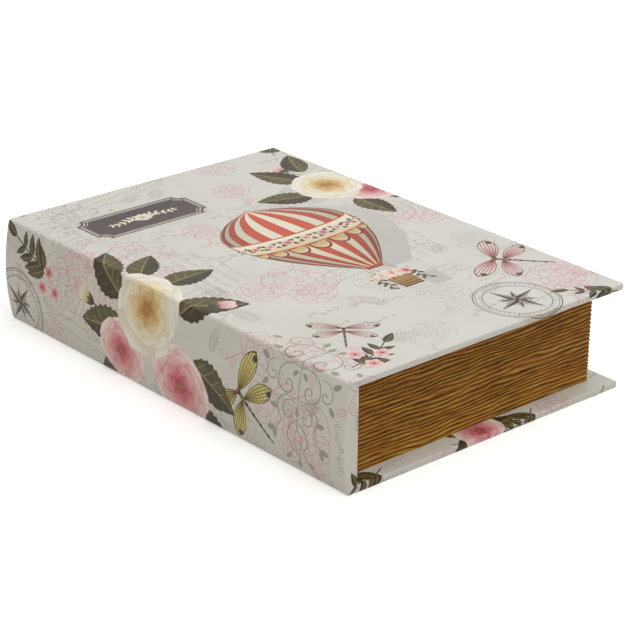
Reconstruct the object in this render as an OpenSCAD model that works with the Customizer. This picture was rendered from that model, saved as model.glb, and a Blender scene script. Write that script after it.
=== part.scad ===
// Book box: a hinged case shaped like a large bound book, with a tray behind ridged page edges.
// The spine lies along Y on the -X side, the fore-edge faces +X and the lid opens about the spine.
// Origin: centre of the bounding box in X and Y, at the underside of the case.

/* [Case] */
// Length along the spine
case_l = 330; // [240:1:420]
// Width over the spine's crown and the fore-edge
case_w = 230; // [170:1:300]
// Height of the closed case
case_h = 70; // [40:1:110]
// Thickness of the lid board
lid_board_t = 3.6; // [2:0.1:6]
// Thickness of the base board
base_board_t = 3.6; // [2:0.1:6]
// Thickness of the printed cover paper and of the hinge strip
paper_t = 0.3; // [0.2:0.05:0.6]

/* [Spine] */
// Thickness of the spine at its top and bottom edges
spine_edge_t = 6; // [4:0.1:12]
// Height of the crown at the middle of the spine's outer face
spine_crown = 4.5; // [2:0.1:9]

/* [Hinge] */
// Clear gap in the slit between the lid's lined edge and the spine
slit_gap = 0.4; // [0.2:0.05:1]
// Gap at the crease where the lid's paper meets the spine's
crease_gap = 0.1; // [0.05:0.05:0.2]
// Width of the hinge strip glued under the lid
hinge_leg = 14; // [8:1:25]

/* [Tray] */
// Board left showing past the tray at head and tail
end_square = 12.5; // [8:0.5:20]
// Board left showing past the tray at the fore-edge
fore_square = 12.5; // [8:0.5:20]
// Thickness of the tray's walls
wall_t = 3; // [2:0.1:5]
// Thickness of the tray's floor
floor_t = 2; // [1:0.1:4]
// How far the turned-in cover paper runs under the tray
tuck = 3; // [2:0.5:8]
// Gap between the tray's rim and the closed lid
rim_gap = 0.3; // [0.2:0.05:0.6]

/* [Linings] */
// Thickness of the lining papers
lining_t = 0.3; // [0.2:0.05:0.6]
// Distance of the lid lining from the board's edges
lining_inset = 4; // [2:0.5:7]

/* [Page edges] */
// Thickness of the page-edge strip in its grooves
strip_t = 0.4; // [0.3:0.05:0.8]
// Height of the tallest ridges on the strip
ridge_h = 0.8; // [0.4:0.05:1.2]
// Spacing of the ridges
ridge_pitch = 2.2; // [1.6:0.1:4]
// Share of the ridge height that varies from one ridge to the next
ridge_vary = 0.35; // [0:0.05:0.6]

/* [Hidden] */
$fn = 64;
// Facets of the large circle that the spine's crown is part of
crown_fn = 360;
// Length by which a cutting shape runs past what it cuts
past = 1;

half_l = case_l / 2;
x_crown = -case_w / 2;
x_fore = case_w / 2;
x_inner = x_crown + spine_crown + spine_edge_t;
slit_w = 2 * paper_t + slit_gap;
x_hinge = x_inner + slit_w / 2;
x_lid = x_inner + slit_w;
spine_r = (case_h * case_h / 4 + spine_crown * spine_crown) / (2 * spine_crown);

z_base = base_board_t + 2 * paper_t;
z_lid = case_h - lid_board_t - 2 * paper_t;
z_lid_board = z_lid + paper_t;
z_rim = z_lid - lining_t - rim_gap;
z_wall = z_rim - strip_t;
z_floor = z_base + floor_t;

// Turned-in cover paper, measured from the case's outer edges
turn_end = end_square + tuck;
turn_fore = fore_square + tuck;

// Outer faces of the tray's walls
strip_total = strip_t + ridge_h;
tray_x0 = x_inner + paper_t;
tray_x1 = x_fore - fore_square - strip_total;
tray_y = half_l - end_square - strip_total;
// Inner faces of the tray's walls
cavity_x0 = tray_x0 + wall_t;
cavity_x1 = tray_x1 - wall_t;
cavity_y = tray_y - wall_t;

ridge_count = floor((z_rim - z_base) / ridge_pitch);
// The ridge profile starts here, so that the ridges are centred on the strip
ridge_z0 = z_base + (z_rim - z_base - ridge_count * ridge_pitch) / 2;

board_colour = "BurlyWood";
print_colour = "Ivory";
page_colour = "Peru";
lining_colour = "OldLace";

// A box between two X, Z limits that is as wide on both sides of the middle
module block(x0, x1, y_half, z0, z1) {
    translate([x0, -y_half, z0]) cube([x1 - x0, 2 * y_half, z1 - z0]);
}

// The same shape at the tail and at the head
module both_ends() {
    children();
    mirror([0, 1, 0]) children();
}

// The D-shaped section of the spine: round on the outside, flat where the boards and tray meet it
module crowned_bar(inset, x_to, z0, z1) {
    intersection() {
        translate([x_crown + spine_r, 0, case_h / 2]) rotate([90, 0, 0])
            cylinder(r = spine_r - inset, h = 2 * (half_l - inset), center = true, $fn = crown_fn);
        block(x_crown - past, x_to, half_l, z0, z1);
    }
}

module base_board() {
    color(board_colour)
        block(x_inner, x_fore - paper_t, half_l - paper_t, paper_t, paper_t + base_board_t);
}

module spine_board() {
    color(board_colour)
        crowned_bar(paper_t, x_inner, paper_t, case_h - paper_t);
}

module lid_board() {
    color(board_colour)
        block(x_lid, x_fore - paper_t, half_l - paper_t, z_lid_board, case_h - paper_t);
}

// Paper folded over three edges of a board and covering it from z0 to z1. The window is the bare
// middle of the turned-in side, cut from window_z0 to window_z1.
module folded_cover(z0, z1, window_z0, window_z1) {
    x_from = x_hinge + crease_gap / 2;
    difference() {
        block(x_from, x_fore, half_l, z0, z1);
        block(x_from - past, x_fore - paper_t, half_l - paper_t, z0 + paper_t, z1 - paper_t);
        block(x_from - past, x_fore - turn_fore, half_l - turn_end, window_z0, window_z1);
    }
}

module base_cover_paper() {
    color(print_colour)
        folded_cover(0, z_base, paper_t + past / 2, z_base + past);
}

module spine_cover_paper() {
    x_to = x_hinge - crease_gap / 2;
    color(print_colour) {
        difference() {
            crowned_bar(0, x_to, 0, case_h);
            crowned_bar(paper_t, x_to + past, paper_t, case_h - paper_t);
        }
        // Turned in over the ends, onto the spine's inner face
        both_ends() translate([x_inner, half_l - turn_end, z_base - paper_t])
            cube([paper_t, turn_end, case_h - z_base + paper_t]);
    }
}

module lid_cover_paper() {
    color(print_colour) {
        difference() {
            folded_cover(z_lid, case_h, z_lid - past, case_h - paper_t - past / 2);
            // The slit beside the lid board stays open
            block(x_inner, x_lid - paper_t, half_l - paper_t, z_lid - past, case_h - paper_t);
        }
        // Turned in over the back edge of the lid board, near its ends
        both_ends() translate([x_lid - paper_t, half_l - turn_end, z_lid])
            cube([paper_t, turn_end, case_h - z_lid]);
    }
}

module tray_floor() {
    color(board_colour) block(tray_x0, tray_x1, tray_y, z_base, z_floor);
}

// One wall across the end of the tray
module end_wall() {
    translate([tray_x0, cavity_y, z_floor])
        cube([tray_x1 - tray_x0, wall_t, z_wall - z_floor]);
}

module tail_wall() {
    color(board_colour) mirror([0, 1, 0]) end_wall();
}

module head_wall() {
    color(board_colour) end_wall();
}

module fore_edge_wall() {
    color(board_colour) block(cavity_x1, tray_x1, cavity_y, z_floor, z_wall);
}

module spine_side_wall() {
    color(board_colour) block(tray_x0, cavity_x0, cavity_y, z_floor, z_wall);
}

// Height of one ridge, a little different for each
function ridge_top(k) = strip_t + ridge_h * (1 - ridge_vary * (0.5 + 0.5 * sin(k * 97)));

// The strip's ridged outer face seen end on, from the bottom up, for a wall whose outer face is at x
function ridge_line(x) = concat(
    [[x + strip_t, z_base]],
    [
        for (k = [0 : ridge_count - 1])
            for (p = [[strip_t, 0.05], [ridge_top(k), 0.3], [ridge_top(k), 0.65], [strip_t, 0.9]])
                [x + p[0], ridge_z0 + (k + p[1]) * ridge_pitch]
    ],
    [[x + strip_t, z_rim]]
);

// A block with the ridges along its fore-edge
module fore_ridged_block() {
    translate([0, half_l, 0]) rotate([90, 0, 0]) linear_extrude(case_l)
        polygon(concat([[tray_x0, z_rim], [tray_x0, z_base]], ridge_line(tray_x1)));
}

// A block with the ridges along its head and its tail
module end_ridged_block() {
    head_line = ridge_line(tray_y);
    tail_line = [for (k = [len(head_line) - 1 : -1 : 0]) [-head_line[k][0], head_line[k][1]]];
    translate([tray_x0 - past, 0, 0]) rotate([90, 0, 90]) linear_extrude(case_w)
        polygon(concat(head_line, tail_line));
}

module page_edge_strip() {
    color(page_colour) difference() {
        intersection() {
            fore_ridged_block();
            end_ridged_block();
        }
        block(tray_x0 - past, tray_x1, tray_y, z_base - past, z_wall);
        // Folded over the rim as far as the inside of the wall lining
        block(tray_x0 - past, cavity_x1 - lining_t, cavity_y - lining_t, z_wall - past, z_rim + past);
    }
}

module wall_lining() {
    color(lining_colour) difference() {
        block(cavity_x0, cavity_x1, cavity_y, z_floor, z_wall);
        block(cavity_x0 + lining_t, cavity_x1 - lining_t, cavity_y - lining_t, z_floor - past, z_wall + past);
    }
}

module floor_lining() {
    color(lining_colour)
        block(cavity_x0 + lining_t, cavity_x1 - lining_t, cavity_y - lining_t, z_floor, z_floor + lining_t);
}

// One sheet that steps down from the board onto the turned-in paper around it
module lid_lining() {
    pan_x0 = x_lid + hinge_leg;
    pan_x1 = x_fore - turn_fore;
    pan_y = half_l - turn_end;
    z_low = z_lid - lining_t;
    color(lining_colour) difference() {
        union() {
            block(x_lid + lining_inset, x_fore - lining_inset, half_l - lining_inset, z_low, z_lid);
            block(pan_x0, pan_x1, pan_y, z_low, z_lid_board);
        }
        block(pan_x0 + lining_t, pan_x1 - lining_t, pan_y - lining_t, z_low - past, z_lid_board - lining_t);
    }
}

// From the tray's rim up the spine to the crease
module hinge_strip_tray_half() {
    color(lining_colour) {
        block(x_inner, tray_x0, half_l - turn_end, z_wall, case_h - paper_t);
        block(x_inner, cavity_x0 + lining_t, cavity_y - lining_t, z_wall, z_wall + paper_t);
    }
}

// From the crease down the lid board's back edge and onto its underside
module hinge_strip_lid_half() {
    color(lining_colour) {
        block(x_lid - paper_t, x_lid, half_l - turn_end, z_lid, case_h - paper_t);
        block(x_lid - paper_t, x_lid + hinge_leg, half_l - turn_end, z_lid, z_lid_board);
    }
}

base_board();
spine_board();
lid_board();
base_cover_paper();
spine_cover_paper();
lid_cover_paper();
tray_floor();
tail_wall();
head_wall();
fore_edge_wall();
spine_side_wall();
page_edge_strip();
wall_lining();
floor_lining();
lid_lining();
hinge_strip_tray_half();
hinge_strip_lid_half();
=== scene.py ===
import itertools
import math
import random
from collections import namedtuple

import bpy
import numpy as np
from mathutils import Matrix, Vector, noise
from mathutils.bvhtree import BVHTree
from mathutils.geometry import delaunay_2d_cdt


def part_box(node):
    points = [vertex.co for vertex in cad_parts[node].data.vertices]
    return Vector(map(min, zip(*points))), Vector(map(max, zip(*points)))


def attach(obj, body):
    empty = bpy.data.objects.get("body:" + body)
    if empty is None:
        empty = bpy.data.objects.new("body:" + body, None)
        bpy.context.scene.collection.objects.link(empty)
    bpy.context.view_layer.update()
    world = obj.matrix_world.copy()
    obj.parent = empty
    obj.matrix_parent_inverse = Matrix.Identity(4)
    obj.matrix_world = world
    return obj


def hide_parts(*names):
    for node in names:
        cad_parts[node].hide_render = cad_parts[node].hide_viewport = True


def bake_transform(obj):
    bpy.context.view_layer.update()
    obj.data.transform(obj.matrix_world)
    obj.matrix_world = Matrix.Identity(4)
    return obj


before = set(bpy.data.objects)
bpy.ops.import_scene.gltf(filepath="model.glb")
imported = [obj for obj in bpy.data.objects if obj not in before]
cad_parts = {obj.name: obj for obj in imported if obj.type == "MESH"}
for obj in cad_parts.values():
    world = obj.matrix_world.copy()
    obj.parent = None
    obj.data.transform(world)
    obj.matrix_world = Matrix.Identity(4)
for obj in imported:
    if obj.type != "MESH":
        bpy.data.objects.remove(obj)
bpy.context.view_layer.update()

# Boards of the case
# Two flat pieces of grey-brown binder's board and a crowned bar of fibreboard are the stiff core of
# the case. They are sawn to size with their edges eased, and the printed sheet is glued round them.

MM = 0.001


def lin(red, green, blue):
    """A screen colour, 0 to 255 a channel, as the linear colour that a shader takes."""
    return tuple(
        c / 255 / 12.92 if c <= 10 else ((c / 255 + 0.055) / 1.055) ** 2.4
        for c in (red, green, blue)
    ) + (1.0,)


class Wire:
    """A socket in a node tree, so that its maths reads as plain sums."""

    def __init__(self, nodes, socket):
        self.nodes, self.socket = nodes, socket

    def math(self, operation, *others):
        return self.nodes.add("ShaderNodeMath", {"operation": operation}, dict(enumerate((self,) + others)))

    def __add__(self, other):
        return self.math("ADD", other)

    def __sub__(self, other):
        return self.math("SUBTRACT", other)

    def __rsub__(self, other):
        return self.math("MULTIPLY_ADD", -1.0, other)

    def __mul__(self, other):
        return self.math("MULTIPLY", other)

    __radd__, __rmul__ = __add__, __mul__

    def step(self, low, high):
        """0 below low, 1 above high and smooth between them. With low over high it falls."""
        first, last = (0.0, 1.0) if low < high else (1.0, 0.0)
        sockets = {0: self, 1: min(low, high), 2: max(low, high), 3: first, 4: last}
        return self.nodes.add("ShaderNodeMapRange", {"interpolation_type": "SMOOTHSTEP"}, sockets)


class NodeTree:
    """Nodes that are added one by one, each given its type, settings and sockets."""

    def __init__(self, tree):
        self.tree = tree

    def put(self, node, sockets):
        for key, value in sockets.items():
            if isinstance(value, Wire):
                self.tree.links.new(value.socket, node.inputs[key])
            else:
                node.inputs[key].default_value = value

    def add(self, kind, settings, sockets, out=0):
        node = self.tree.nodes.new(kind)
        for key, value in settings.items():
            if key == "stops":
                ramp = node.color_ramp
                while len(ramp.elements) < len(value):
                    ramp.elements.new(0.5)
                for element, (place, colour) in zip(ramp.elements, value):
                    element.position, element.color = place, colour
            else:
                setattr(node, key, value)
        self.put(node, sockets)
        return Wire(self, node.outputs[out])


class Finish(NodeTree):
    """The material of a piece, round its own shader."""

    def __init__(self, name, roughness, specular):
        self.material = bpy.data.materials.new(name)
        self.material.use_nodes = True
        super().__init__(self.material.node_tree)
        self.shader = self.tree.nodes["Principled BSDF"]
        self.put(self.shader, {"Roughness": roughness, "Specular IOR Level": specular})

    def attribute(self, name, out="Color"):
        return self.add("ShaderNodeAttribute", {"attribute_name": name}, {}, out)

    def place(self, scale=(1, 1, 1)):
        """The point on the piece in millimetres, stretched by scale."""
        point = self.add("ShaderNodeTexCoord", {}, {}, "Object")
        factors = tuple(s / MM for s in scale)
        return self.add("ShaderNodeVectorMath", {"operation": "MULTIPLY"}, {0: point, 1: factors})

    def split(self, vector):
        node = self.add("ShaderNodeSeparateXYZ", {}, {0: vector})
        return [Wire(self, s) for s in node.socket.node.outputs]

    def combine(self, x, y, z):
        return self.add("ShaderNodeCombineXYZ", {}, {0: x, 1: y, 2: z})

    def noise(self, vector, scale, detail=2.0, rough=0.5):
        sockets = {"Vector": vector, "Scale": scale, "Detail": detail, "Roughness": rough}
        return self.add("ShaderNodeTexNoise", {}, sockets)

    def mix(self, factor, a, b, blend="MIX"):
        settings = {"data_type": "RGBA", "blend_type": blend, "clamp_factor": True}
        return self.add("ShaderNodeMix", settings, {0: factor, 6: a, 7: b}, 2)

    def bump(self, height, strength, distance):
        sockets = {"Height": height, "Strength": strength, "Distance": distance}
        self.put(self.shader, {"Normal": self.add("ShaderNodeBump", {}, sockets)})

    def colour(self, wire):
        self.put(self.shader, {"Base Color": wire})


def fibre_finish(name, dark, light, grain, roughness):
    """Pressed fibre or board: fine specks over a slow cloud of two near colours."""
    finish = Finish(name, roughness, 0.25)
    point = finish.place()
    cloud = finish.noise(point, 0.05 * grain, 3.0, 0.6)
    specks = finish.noise(point, 1.6 * grain, 2.0, 0.7)
    finish.colour(finish.mix(cloud * 0.5 + specks * 0.7 - 0.1, dark, light))
    finish.bump(specks, 0.35, 0.15 * MM)
    return finish.material


greyboard = fibre_finish("greyboard", lin(112, 98, 78), lin(160, 143, 117), 1.0, 0.9)
fibreboard = fibre_finish("fibreboard", lin(118, 88, 55), lin(170, 134, 92), 1.5, 0.85)


def clear_selection():
    if bpy.context.object and bpy.context.object.mode != "OBJECT":
        bpy.ops.object.mode_set(mode="OBJECT")
    bpy.ops.object.select_all(action="DESELECT")


BOARD_EASE = 1.0      # how far the boards' edges and corners are eased


def eased_board(node):
    """A box the size of a CAD board, with its corners and edges eased."""
    low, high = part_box(node)
    clear_selection()
    bpy.ops.mesh.primitive_cube_add(size=1, location=(low + high) / 2, scale=high - low)
    board = bpy.context.object
    board.name = node.replace("_board", "_core_board")
    bpy.ops.object.transform_apply(location=True, rotation=False, scale=True)
    bpy.ops.object.mode_set(mode="EDIT")
    bpy.ops.mesh.select_all(action="SELECT")
    bpy.ops.mesh.bevel(offset=BOARD_EASE * MM, segments=3, affect="EDGES")
    bpy.ops.object.mode_set(mode="OBJECT")
    bpy.ops.object.shade_smooth_by_angle(angle=math.radians(25))
    board.data.materials.append(greyboard)
    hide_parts(node)
    return board


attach(eased_board("base_board"), "case")
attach(eased_board("lid_board"), "lid")

# The spine's outer face is an arc from edge to edge; its corners are rounded more than the boards'.
SPINE_X, INNER_X, CREASE_X, FORE_X = -115.0, -104.5, -104.0, 115.0
HALF_L, CASE_H = 165.0, 70.0
SPINE_R, SPINE_FILLET = 138.36, 2.4
SPINE_CX = SPINE_X + SPINE_R
half_h = CASE_H / 2
fillet_x = SPINE_CX - math.sqrt((SPINE_R - SPINE_FILLET) ** 2 - (half_h - SPINE_FILLET) ** 2)
side_angle = math.asin((half_h - SPINE_FILLET) / (SPINE_R - SPINE_FILLET))
fillet_turn = math.pi / 2 - side_angle
# Lengths along the sheet from the crease: over the top strip, the fillet and the crowned side
top_run = CREASE_X - fillet_x
fillet_run = SPINE_FILLET * fillet_turn
side_run = 2 * SPINE_R * side_angle
spine_run = 2 * (top_run + fillet_run) + side_run
SPINE_EASE = 0.5      # how far the bar's sharp edges are eased


def spine_section(s, depth):
    """Where a point at distance s from the top crease lies, depth under the paper's face."""
    upper = np.minimum(s, spine_run - s)
    flip = np.where(s > spine_run / 2, -1.0, 1.0)
    turn = np.clip((upper - top_run) / SPINE_FILLET, 0, fillet_turn)
    x = fillet_x - (SPINE_FILLET - depth) * np.sin(turn) + np.clip(top_run - upper, 0, None)
    z = half_h - SPINE_FILLET + (SPINE_FILLET - depth) * np.cos(turn)
    angle = side_angle - np.clip(upper - top_run - fillet_run, 0, None) / SPINE_R
    on_side = upper > top_run + fillet_run
    x = np.where(on_side, SPINE_CX - (SPINE_R - depth) * np.cos(angle), x)
    z = np.where(on_side, (SPINE_R - depth) * np.sin(angle), z)
    return x, half_h + flip * z


def extruded(name, section, half_length, middle=0.0):
    """A bar of one section, given as (x, z) points in mm, that runs from tail to head."""
    clear_selection()
    bpy.ops.mesh.primitive_circle_add(vertices=len(section), radius=1, fill_type="NGON")
    bar = bpy.context.object
    bar.name = name
    for vertex, (x, z) in zip(bar.data.vertices, section):
        vertex.co = (x * MM, (middle - half_length) * MM, z * MM)
    bpy.ops.object.mode_set(mode="EDIT")
    bpy.ops.mesh.select_all(action="SELECT")
    bpy.ops.mesh.extrude_region_move(TRANSFORM_OT_translate={"value": (0, 2 * half_length * MM, 0)})
    bpy.ops.mesh.select_all(action="SELECT")
    bpy.ops.mesh.normals_make_consistent(inside=False)
    bpy.ops.object.mode_set(mode="OBJECT")
    return bar


def bevelled(piece, width, least_angle, smooth_angle):
    """Eases the edges of a piece that turn by least_angle or more, and shades it smooth."""
    bpy.ops.object.modifier_add(type="BEVEL")
    bevel = piece.modifiers[-1]
    bevel.width, bevel.segments = width * MM, 2
    bevel.limit_method, bevel.angle_limit = "ANGLE", math.radians(least_angle)
    bpy.ops.object.modifier_apply(modifier=bevel.name)
    bpy.ops.object.shade_smooth_by_angle(angle=math.radians(smooth_angle))


PAPER = 0.3           # thickness of the printed paper
steps = np.concatenate([
    [top_run],
    top_run + fillet_run * np.linspace(0.25, 1, 4),
    top_run + fillet_run + side_run * np.linspace(0.04, 0.96, 24),
    spine_run - top_run - fillet_run * np.linspace(1, 0, 5),
])
section_x, section_z = spine_section(steps, PAPER)
outline = [(INNER_X, CASE_H - PAPER)] + list(zip(section_x, section_z)) + [(INNER_X, PAPER)]
spine_core = extruded("spine_core_bar", outline, HALF_L - PAPER)
bevelled(spine_core, SPINE_EASE, 50, 30)
spine_core.data.materials.append(fibreboard)
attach(spine_core, "case")
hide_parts("spine_board")

# The print
# The artwork of the case, as the press lays it on the flat sheet before the case is made: inks over
# off-white paper. Each motif is a pile of flat shapes, the last on top. Points are complex numbers
# in millimetres: real runs from the crease over the lid, imaginary from tail to head.

PLAIN, PETAL, LEAF = 0.0, 1.0, 2.0      # an ink lies flat, in streaks or mottled
PAPER_WHITE = (221, 219, 213)
CREAM, WARM_CREAM, DULL_CREAM = (240, 233, 214), (226, 207, 170), (226, 216, 200)
HONEY, STRAW, BROWN = (190, 150, 90), (205, 176, 120), (105, 72, 50)
BLUSH, PINK, ROSE = (245, 220, 216), (226, 158, 163), (204, 108, 120)
BRICK, DARK_BRICK = (200, 82, 56), (120, 44, 36)
LEAF_DARK, LEAF_MID, LEAF_PALE = (52, 43, 28), (100, 92, 56), (150, 140, 92)
LEAF_BETWEEN = tuple((2 * a + b) / 3 for a, b in zip(LEAF_DARK, LEAF_MID))
LABEL_LOW, LABEL_TOP = (88, 77, 75), (76, 66, 65)
SCROLL_GREY, SCROLL_PALE = (168, 160, 150), (188, 182, 174)
DARK_LINE, WING_LINE, PINK_LINE = (66, 54, 52), (70, 62, 48), (216, 152, 165)
GREY_LINE, FERN_LINE, PALE_LINE = (160, 152, 144), (196, 190, 182), (196, 188, 180)
PEN = 0.4              # width of a pen line
LEAST_AREA = 0.002     # square millimetres, under which a shape isn't printed
# The petals' colours at root and tip, from a flower's outer ring to its inner one
tones_pink = [
    ((234, 190, 188), (250, 236, 232)), ((222, 148, 154), (247, 220, 218)),
    ((212, 120, 130), (242, 196, 197)), ((194, 80, 94), (234, 166, 170)), ((160, 46, 62), (220, 126, 134))]
tones_cream = [
    ((232, 222, 200), (251, 248, 240)), ((232, 218, 184), (250, 246, 232)),
    ((224, 198, 144), (246, 236, 208)), ((204, 160, 92), (238, 216, 170)), ((172, 114, 60), (224, 188, 130))]

InkShape = namedtuple("InkShape", "loop first second pattern base reach across")
shapes = []


def heading(angle):
    """The direction at an angle, as a step of one."""
    return np.exp(1j * angle)


def course(line, k):
    """The direction of a line at its point k, as a step of one."""
    step = line[k + 1] - line[k]
    return step / abs(step)


def ring(sides):
    """A circle of radius 1 with so many sides."""
    return np.exp(2j * math.pi * np.arange(sides) / sides)


def between(first, second):
    """The outline of what lies between two lines that run the same way."""
    return np.concatenate([first, second[::-1]])


def dimmed(colour, share):
    return tuple(share * c for c in colour)


def ink_shapes(loops, colour, tip_colour=None, pattern=PLAIN, base=0j, reach=1 + 0j, across=1.0):
    """Adds filled outlines, one a row. Their own measure runs from base (0) to base + reach (1)."""
    loops = np.atleast_2d(np.asarray(loops, complex))
    # Each is turned counterclockwise and ends at its leftmost point, as the cut into triangles needs
    area = (loops.conjugate() * np.roll(loops, -1, axis=1)).imag.sum(1) / 2
    loops = np.where(area[:, None] < 0, loops[:, ::-1], loops)
    count = loops.shape[1]
    order = (np.argmin(loops.real, axis=1)[:, None] + 1 + np.arange(count)) % count
    loops = np.take_along_axis(loops, order, 1)
    sound = np.abs(area) > LEAST_AREA
    if count == 4:
        # A four-cornered piece of line in a tight curl can cross itself, and is left out
        way = np.roll(loops, -1, axis=1) - loops
        sound &= ((way.conjugate() * np.roll(way, -1, axis=1)).imag > 0).all(1)
    for loop in loops[sound]:
        shapes.append(InkShape(loop, colour, tip_colour or colour, pattern, base, reach, across))


def ink_shape(loop, *ink):
    loop = np.asarray(loop, complex)
    ink_shapes(loop[np.abs(loop - np.roll(loop, 1)) > 1e-3], *ink)


def stroke(points, width, colour, taper=0.0):
    """A line of ink along the points. taper narrows it towards its ends."""
    points = np.asarray(points, complex)
    along = np.gradient(points)
    side = 1j * along / np.maximum(np.abs(along), 1e-9)
    half = width / 2 * (1 - taper * np.linspace(-1, 1, len(points)) ** 2)
    left, right = points + side * half, points - side * half
    ink_shapes(np.stack([left[:-1], right[:-1], right[1:], left[1:]], axis=1), colour)


def closed_stroke(loop, width, colour):
    """A line of ink round a closed outline, of one width."""
    loop = np.asarray(loop, complex)
    along = np.roll(loop, -1) - np.roll(loop, 1)
    side = 1j * along / np.abs(along) * width / 2
    left, right = loop + side, loop - side
    ink_shapes(np.stack([left, right, np.roll(right, -1), np.roll(left, -1)], axis=1), colour)


def smooth(points, count=40):
    """A smooth line through the points."""
    points = np.asarray(points, complex)
    t = np.linspace(0, len(points) - 1, count)
    padded = np.concatenate([[2 * points[0] - points[1]], points, [2 * points[-1] - points[-2]]])
    i = np.minimum(t.astype(int), len(points) - 2)
    f = t - i
    p0, p1, p2, p3 = padded[i], padded[i + 1], padded[i + 2], padded[i + 3]
    return 0.5 * (2 * p1 + (p2 - p0) * f + (2 * p0 - 5 * p1 + 4 * p2 - p3) * f ** 2
                  + (3 * p1 - p0 - 3 * p2 + p3) * f ** 3)


def volute(centre, start, turns, hand=1, close=0.1, count=30):
    """A line from start that winds round centre and closes in on it."""
    angle = np.linspace(0, 2 * math.pi * turns, count)
    return centre + (start - centre) * np.exp((math.log(close) / (2 * math.pi * turns) + 1j * hand) * angle)


def petal_loop(rng, width, fullness=1.45, ruffle=0.05, count=9):
    """A petal from 0 to 1 along the real axis, width at its widest, with a ruffled rim."""
    t = np.linspace(0, 1, count) ** 0.85
    half = width / 2 * np.sin(math.pi * t ** fullness) ** 0.62
    loop = np.concatenate([t + 1j * half, (t - 1j * half)[-2:0:-1]])
    angle = np.angle(loop - 0.45)
    wave = 1 + ruffle * np.sin(angle * rng.choice((3, 4, 5)) + rng.uniform(0, 6)) * (loop.real > 0.3)
    return 0.45 + (loop - 0.45) * wave


def petal(rng, base, reach, width, inner, outer, from_share=0.0, ruffle=0.05):
    """One petal, with a fine darker rim if it is over 5 mm long.

    Its colour runs from inner to outer past from_share."""
    count = 11 if abs(reach) > 16 else 9 if abs(reach) > 9 else 6
    loop = base + reach * petal_loop(rng, width, ruffle=ruffle, count=count)
    if abs(reach) > 5:
        rim = tuple(0.66 * a + 0.28 * b for a, b in zip(inner, outer))
        middle = base + 0.5 * reach
        ink_shape(middle + (loop - middle) * 1.03, rim)
    start = base + reach * from_share
    ink_shape(loop, inner, outer, PETAL, start, reach * (1 - from_share), 2 / width)


def dot(centre, radius, colour, sides=8):
    ink_shape(centre + radius * ring(sides), colour)


def blossom(centre, radius, tones, seed, turn=0.0):
    """A full flower: rings of overlapping petals that close up towards the heart.

    One of 10 mm or less has only every second ring."""
    rng = random.Random(seed)
    every = 1 if radius > 10 else 2
    # Petals in a ring, their length, and where along them their colour starts to turn
    rings = ((7, 1.00, 0.62), (7, 0.82, 0.50), (6, 0.64, 0.40), (6, 0.47, 0.30), (5, 0.32, 0.10))
    for k, (count, share, from_share) in enumerate(rings[::every]):
        order = list(range(count))
        rng.shuffle(order)
        for i in order:
            angle = turn + 2 * math.pi * (i + 0.5 * (k % 2) + rng.uniform(-0.13, 0.13)) / count
            shift = complex(rng.uniform(-1, 1), rng.uniform(-1, 1)) * 0.035 * radius
            reach = heading(angle) * radius * share * rng.uniform(0.92, 1.06)
            petal(rng, centre + shift, reach, rng.uniform(1.0, 1.2), *tones[every * k], from_share)
    for _ in range(16 if radius > 10 else 3):
        spot = centre + radius * 0.1 * complex(rng.gauss(0, 0.6), rng.gauss(0, 0.6))
        dot(spot, radius * 0.022, HONEY, 5)


def leaf(base, reach, width, seed, teeth=9):
    """A serrated leaf, paler on one side of its midrib, with side veins if it is a large one."""
    rng = random.Random(seed)
    t = np.linspace(0, 1, 2 * teeth + 1)
    half = width / 2 * np.sin(math.pi * t ** 0.8) ** 0.85
    tooth = np.where(np.arange(len(t)) % 2 == 1, 1.08, 0.94)
    tooth[0] = tooth[-1] = 1
    bend = 0.15 * rng.choice((-1, 1))
    rib = t + 1j * bend * t ** 2
    lit = rng.choice((-1, 1))
    for side in (1, -1):
        edge = rib + 1j * side * half * tooth
        tones = (LEAF_BETWEEN, LEAF_MID) if side == lit else (LEAF_DARK, LEAF_BETWEEN)
        ink_shape(base + reach * np.concatenate([rib, edge[-2:0:-1]]), *tones, LEAF, base, reach, 2 / width)
    if abs(reach) > 20:
        for k in range(2, 2 * teeth - 3, 3):
            for side in (1, -1):
                tip = min(k + 3, 2 * teeth)
                way = rib[tip] + 1j * side * half[tip] * 0.88
                vein = smooth([rib[k], (rib[k] + way) / 2 - 0.02j * side, way], 5)
                stroke(base + reach * vein, abs(reach) * 0.012, LEAF_PALE if side == lit else LEAF_MID, 0.7)
    spine = np.linspace(-0.12, 0.93, 8)
    stroke(base + reach * (spine + 1j * bend * spine ** 2), abs(reach) * 0.028, LEAF_PALE, 0.7)


def spray(base, reach, seed):
    """A stem with four pairs of leaves and one leaf at its tip."""
    rng = random.Random(seed)
    bend = rng.uniform(-0.25, 0.25)
    t = np.linspace(0, 1, 16)
    line = base + reach * (t + 1j * bend * t * (1 - t) * 2)
    stroke(line, abs(reach) * 0.022, LEAF_DARK)
    for k in range(4):
        at = int(3 + k * 11 / 4)
        size = abs(reach) * (0.42 - 0.05 * k) * rng.uniform(0.9, 1.1)
        for side in (1, -1):
            leaf(line[at], course(line, at) * heading(0.85 * side) * size, 0.42, rng.random(), 6)
    leaf(line[-1], reach * 0.36, 0.42, rng.random(), 6)


def floret(centre, radius, inner, outer, seed, petals=5, heart=HONEY):
    """A small open flower seen from the front."""
    rng = random.Random(seed)
    turn = rng.uniform(0, 6)
    for i in range(petals):
        reach = radius * rng.uniform(0.92, 1.05) * heading(turn + 2 * math.pi * i / petals)
        petal(rng, centre, reach, 0.86, inner, outer, 0.15, 0.04)
    dot(centre, radius * 0.17, dimmed(heart, 0.6))
    for i in range(5):
        dot(centre + radius * 0.2 * heading(2 * math.pi * (i / 5 + 0.1)), radius * 0.055, heart, 5)


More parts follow.
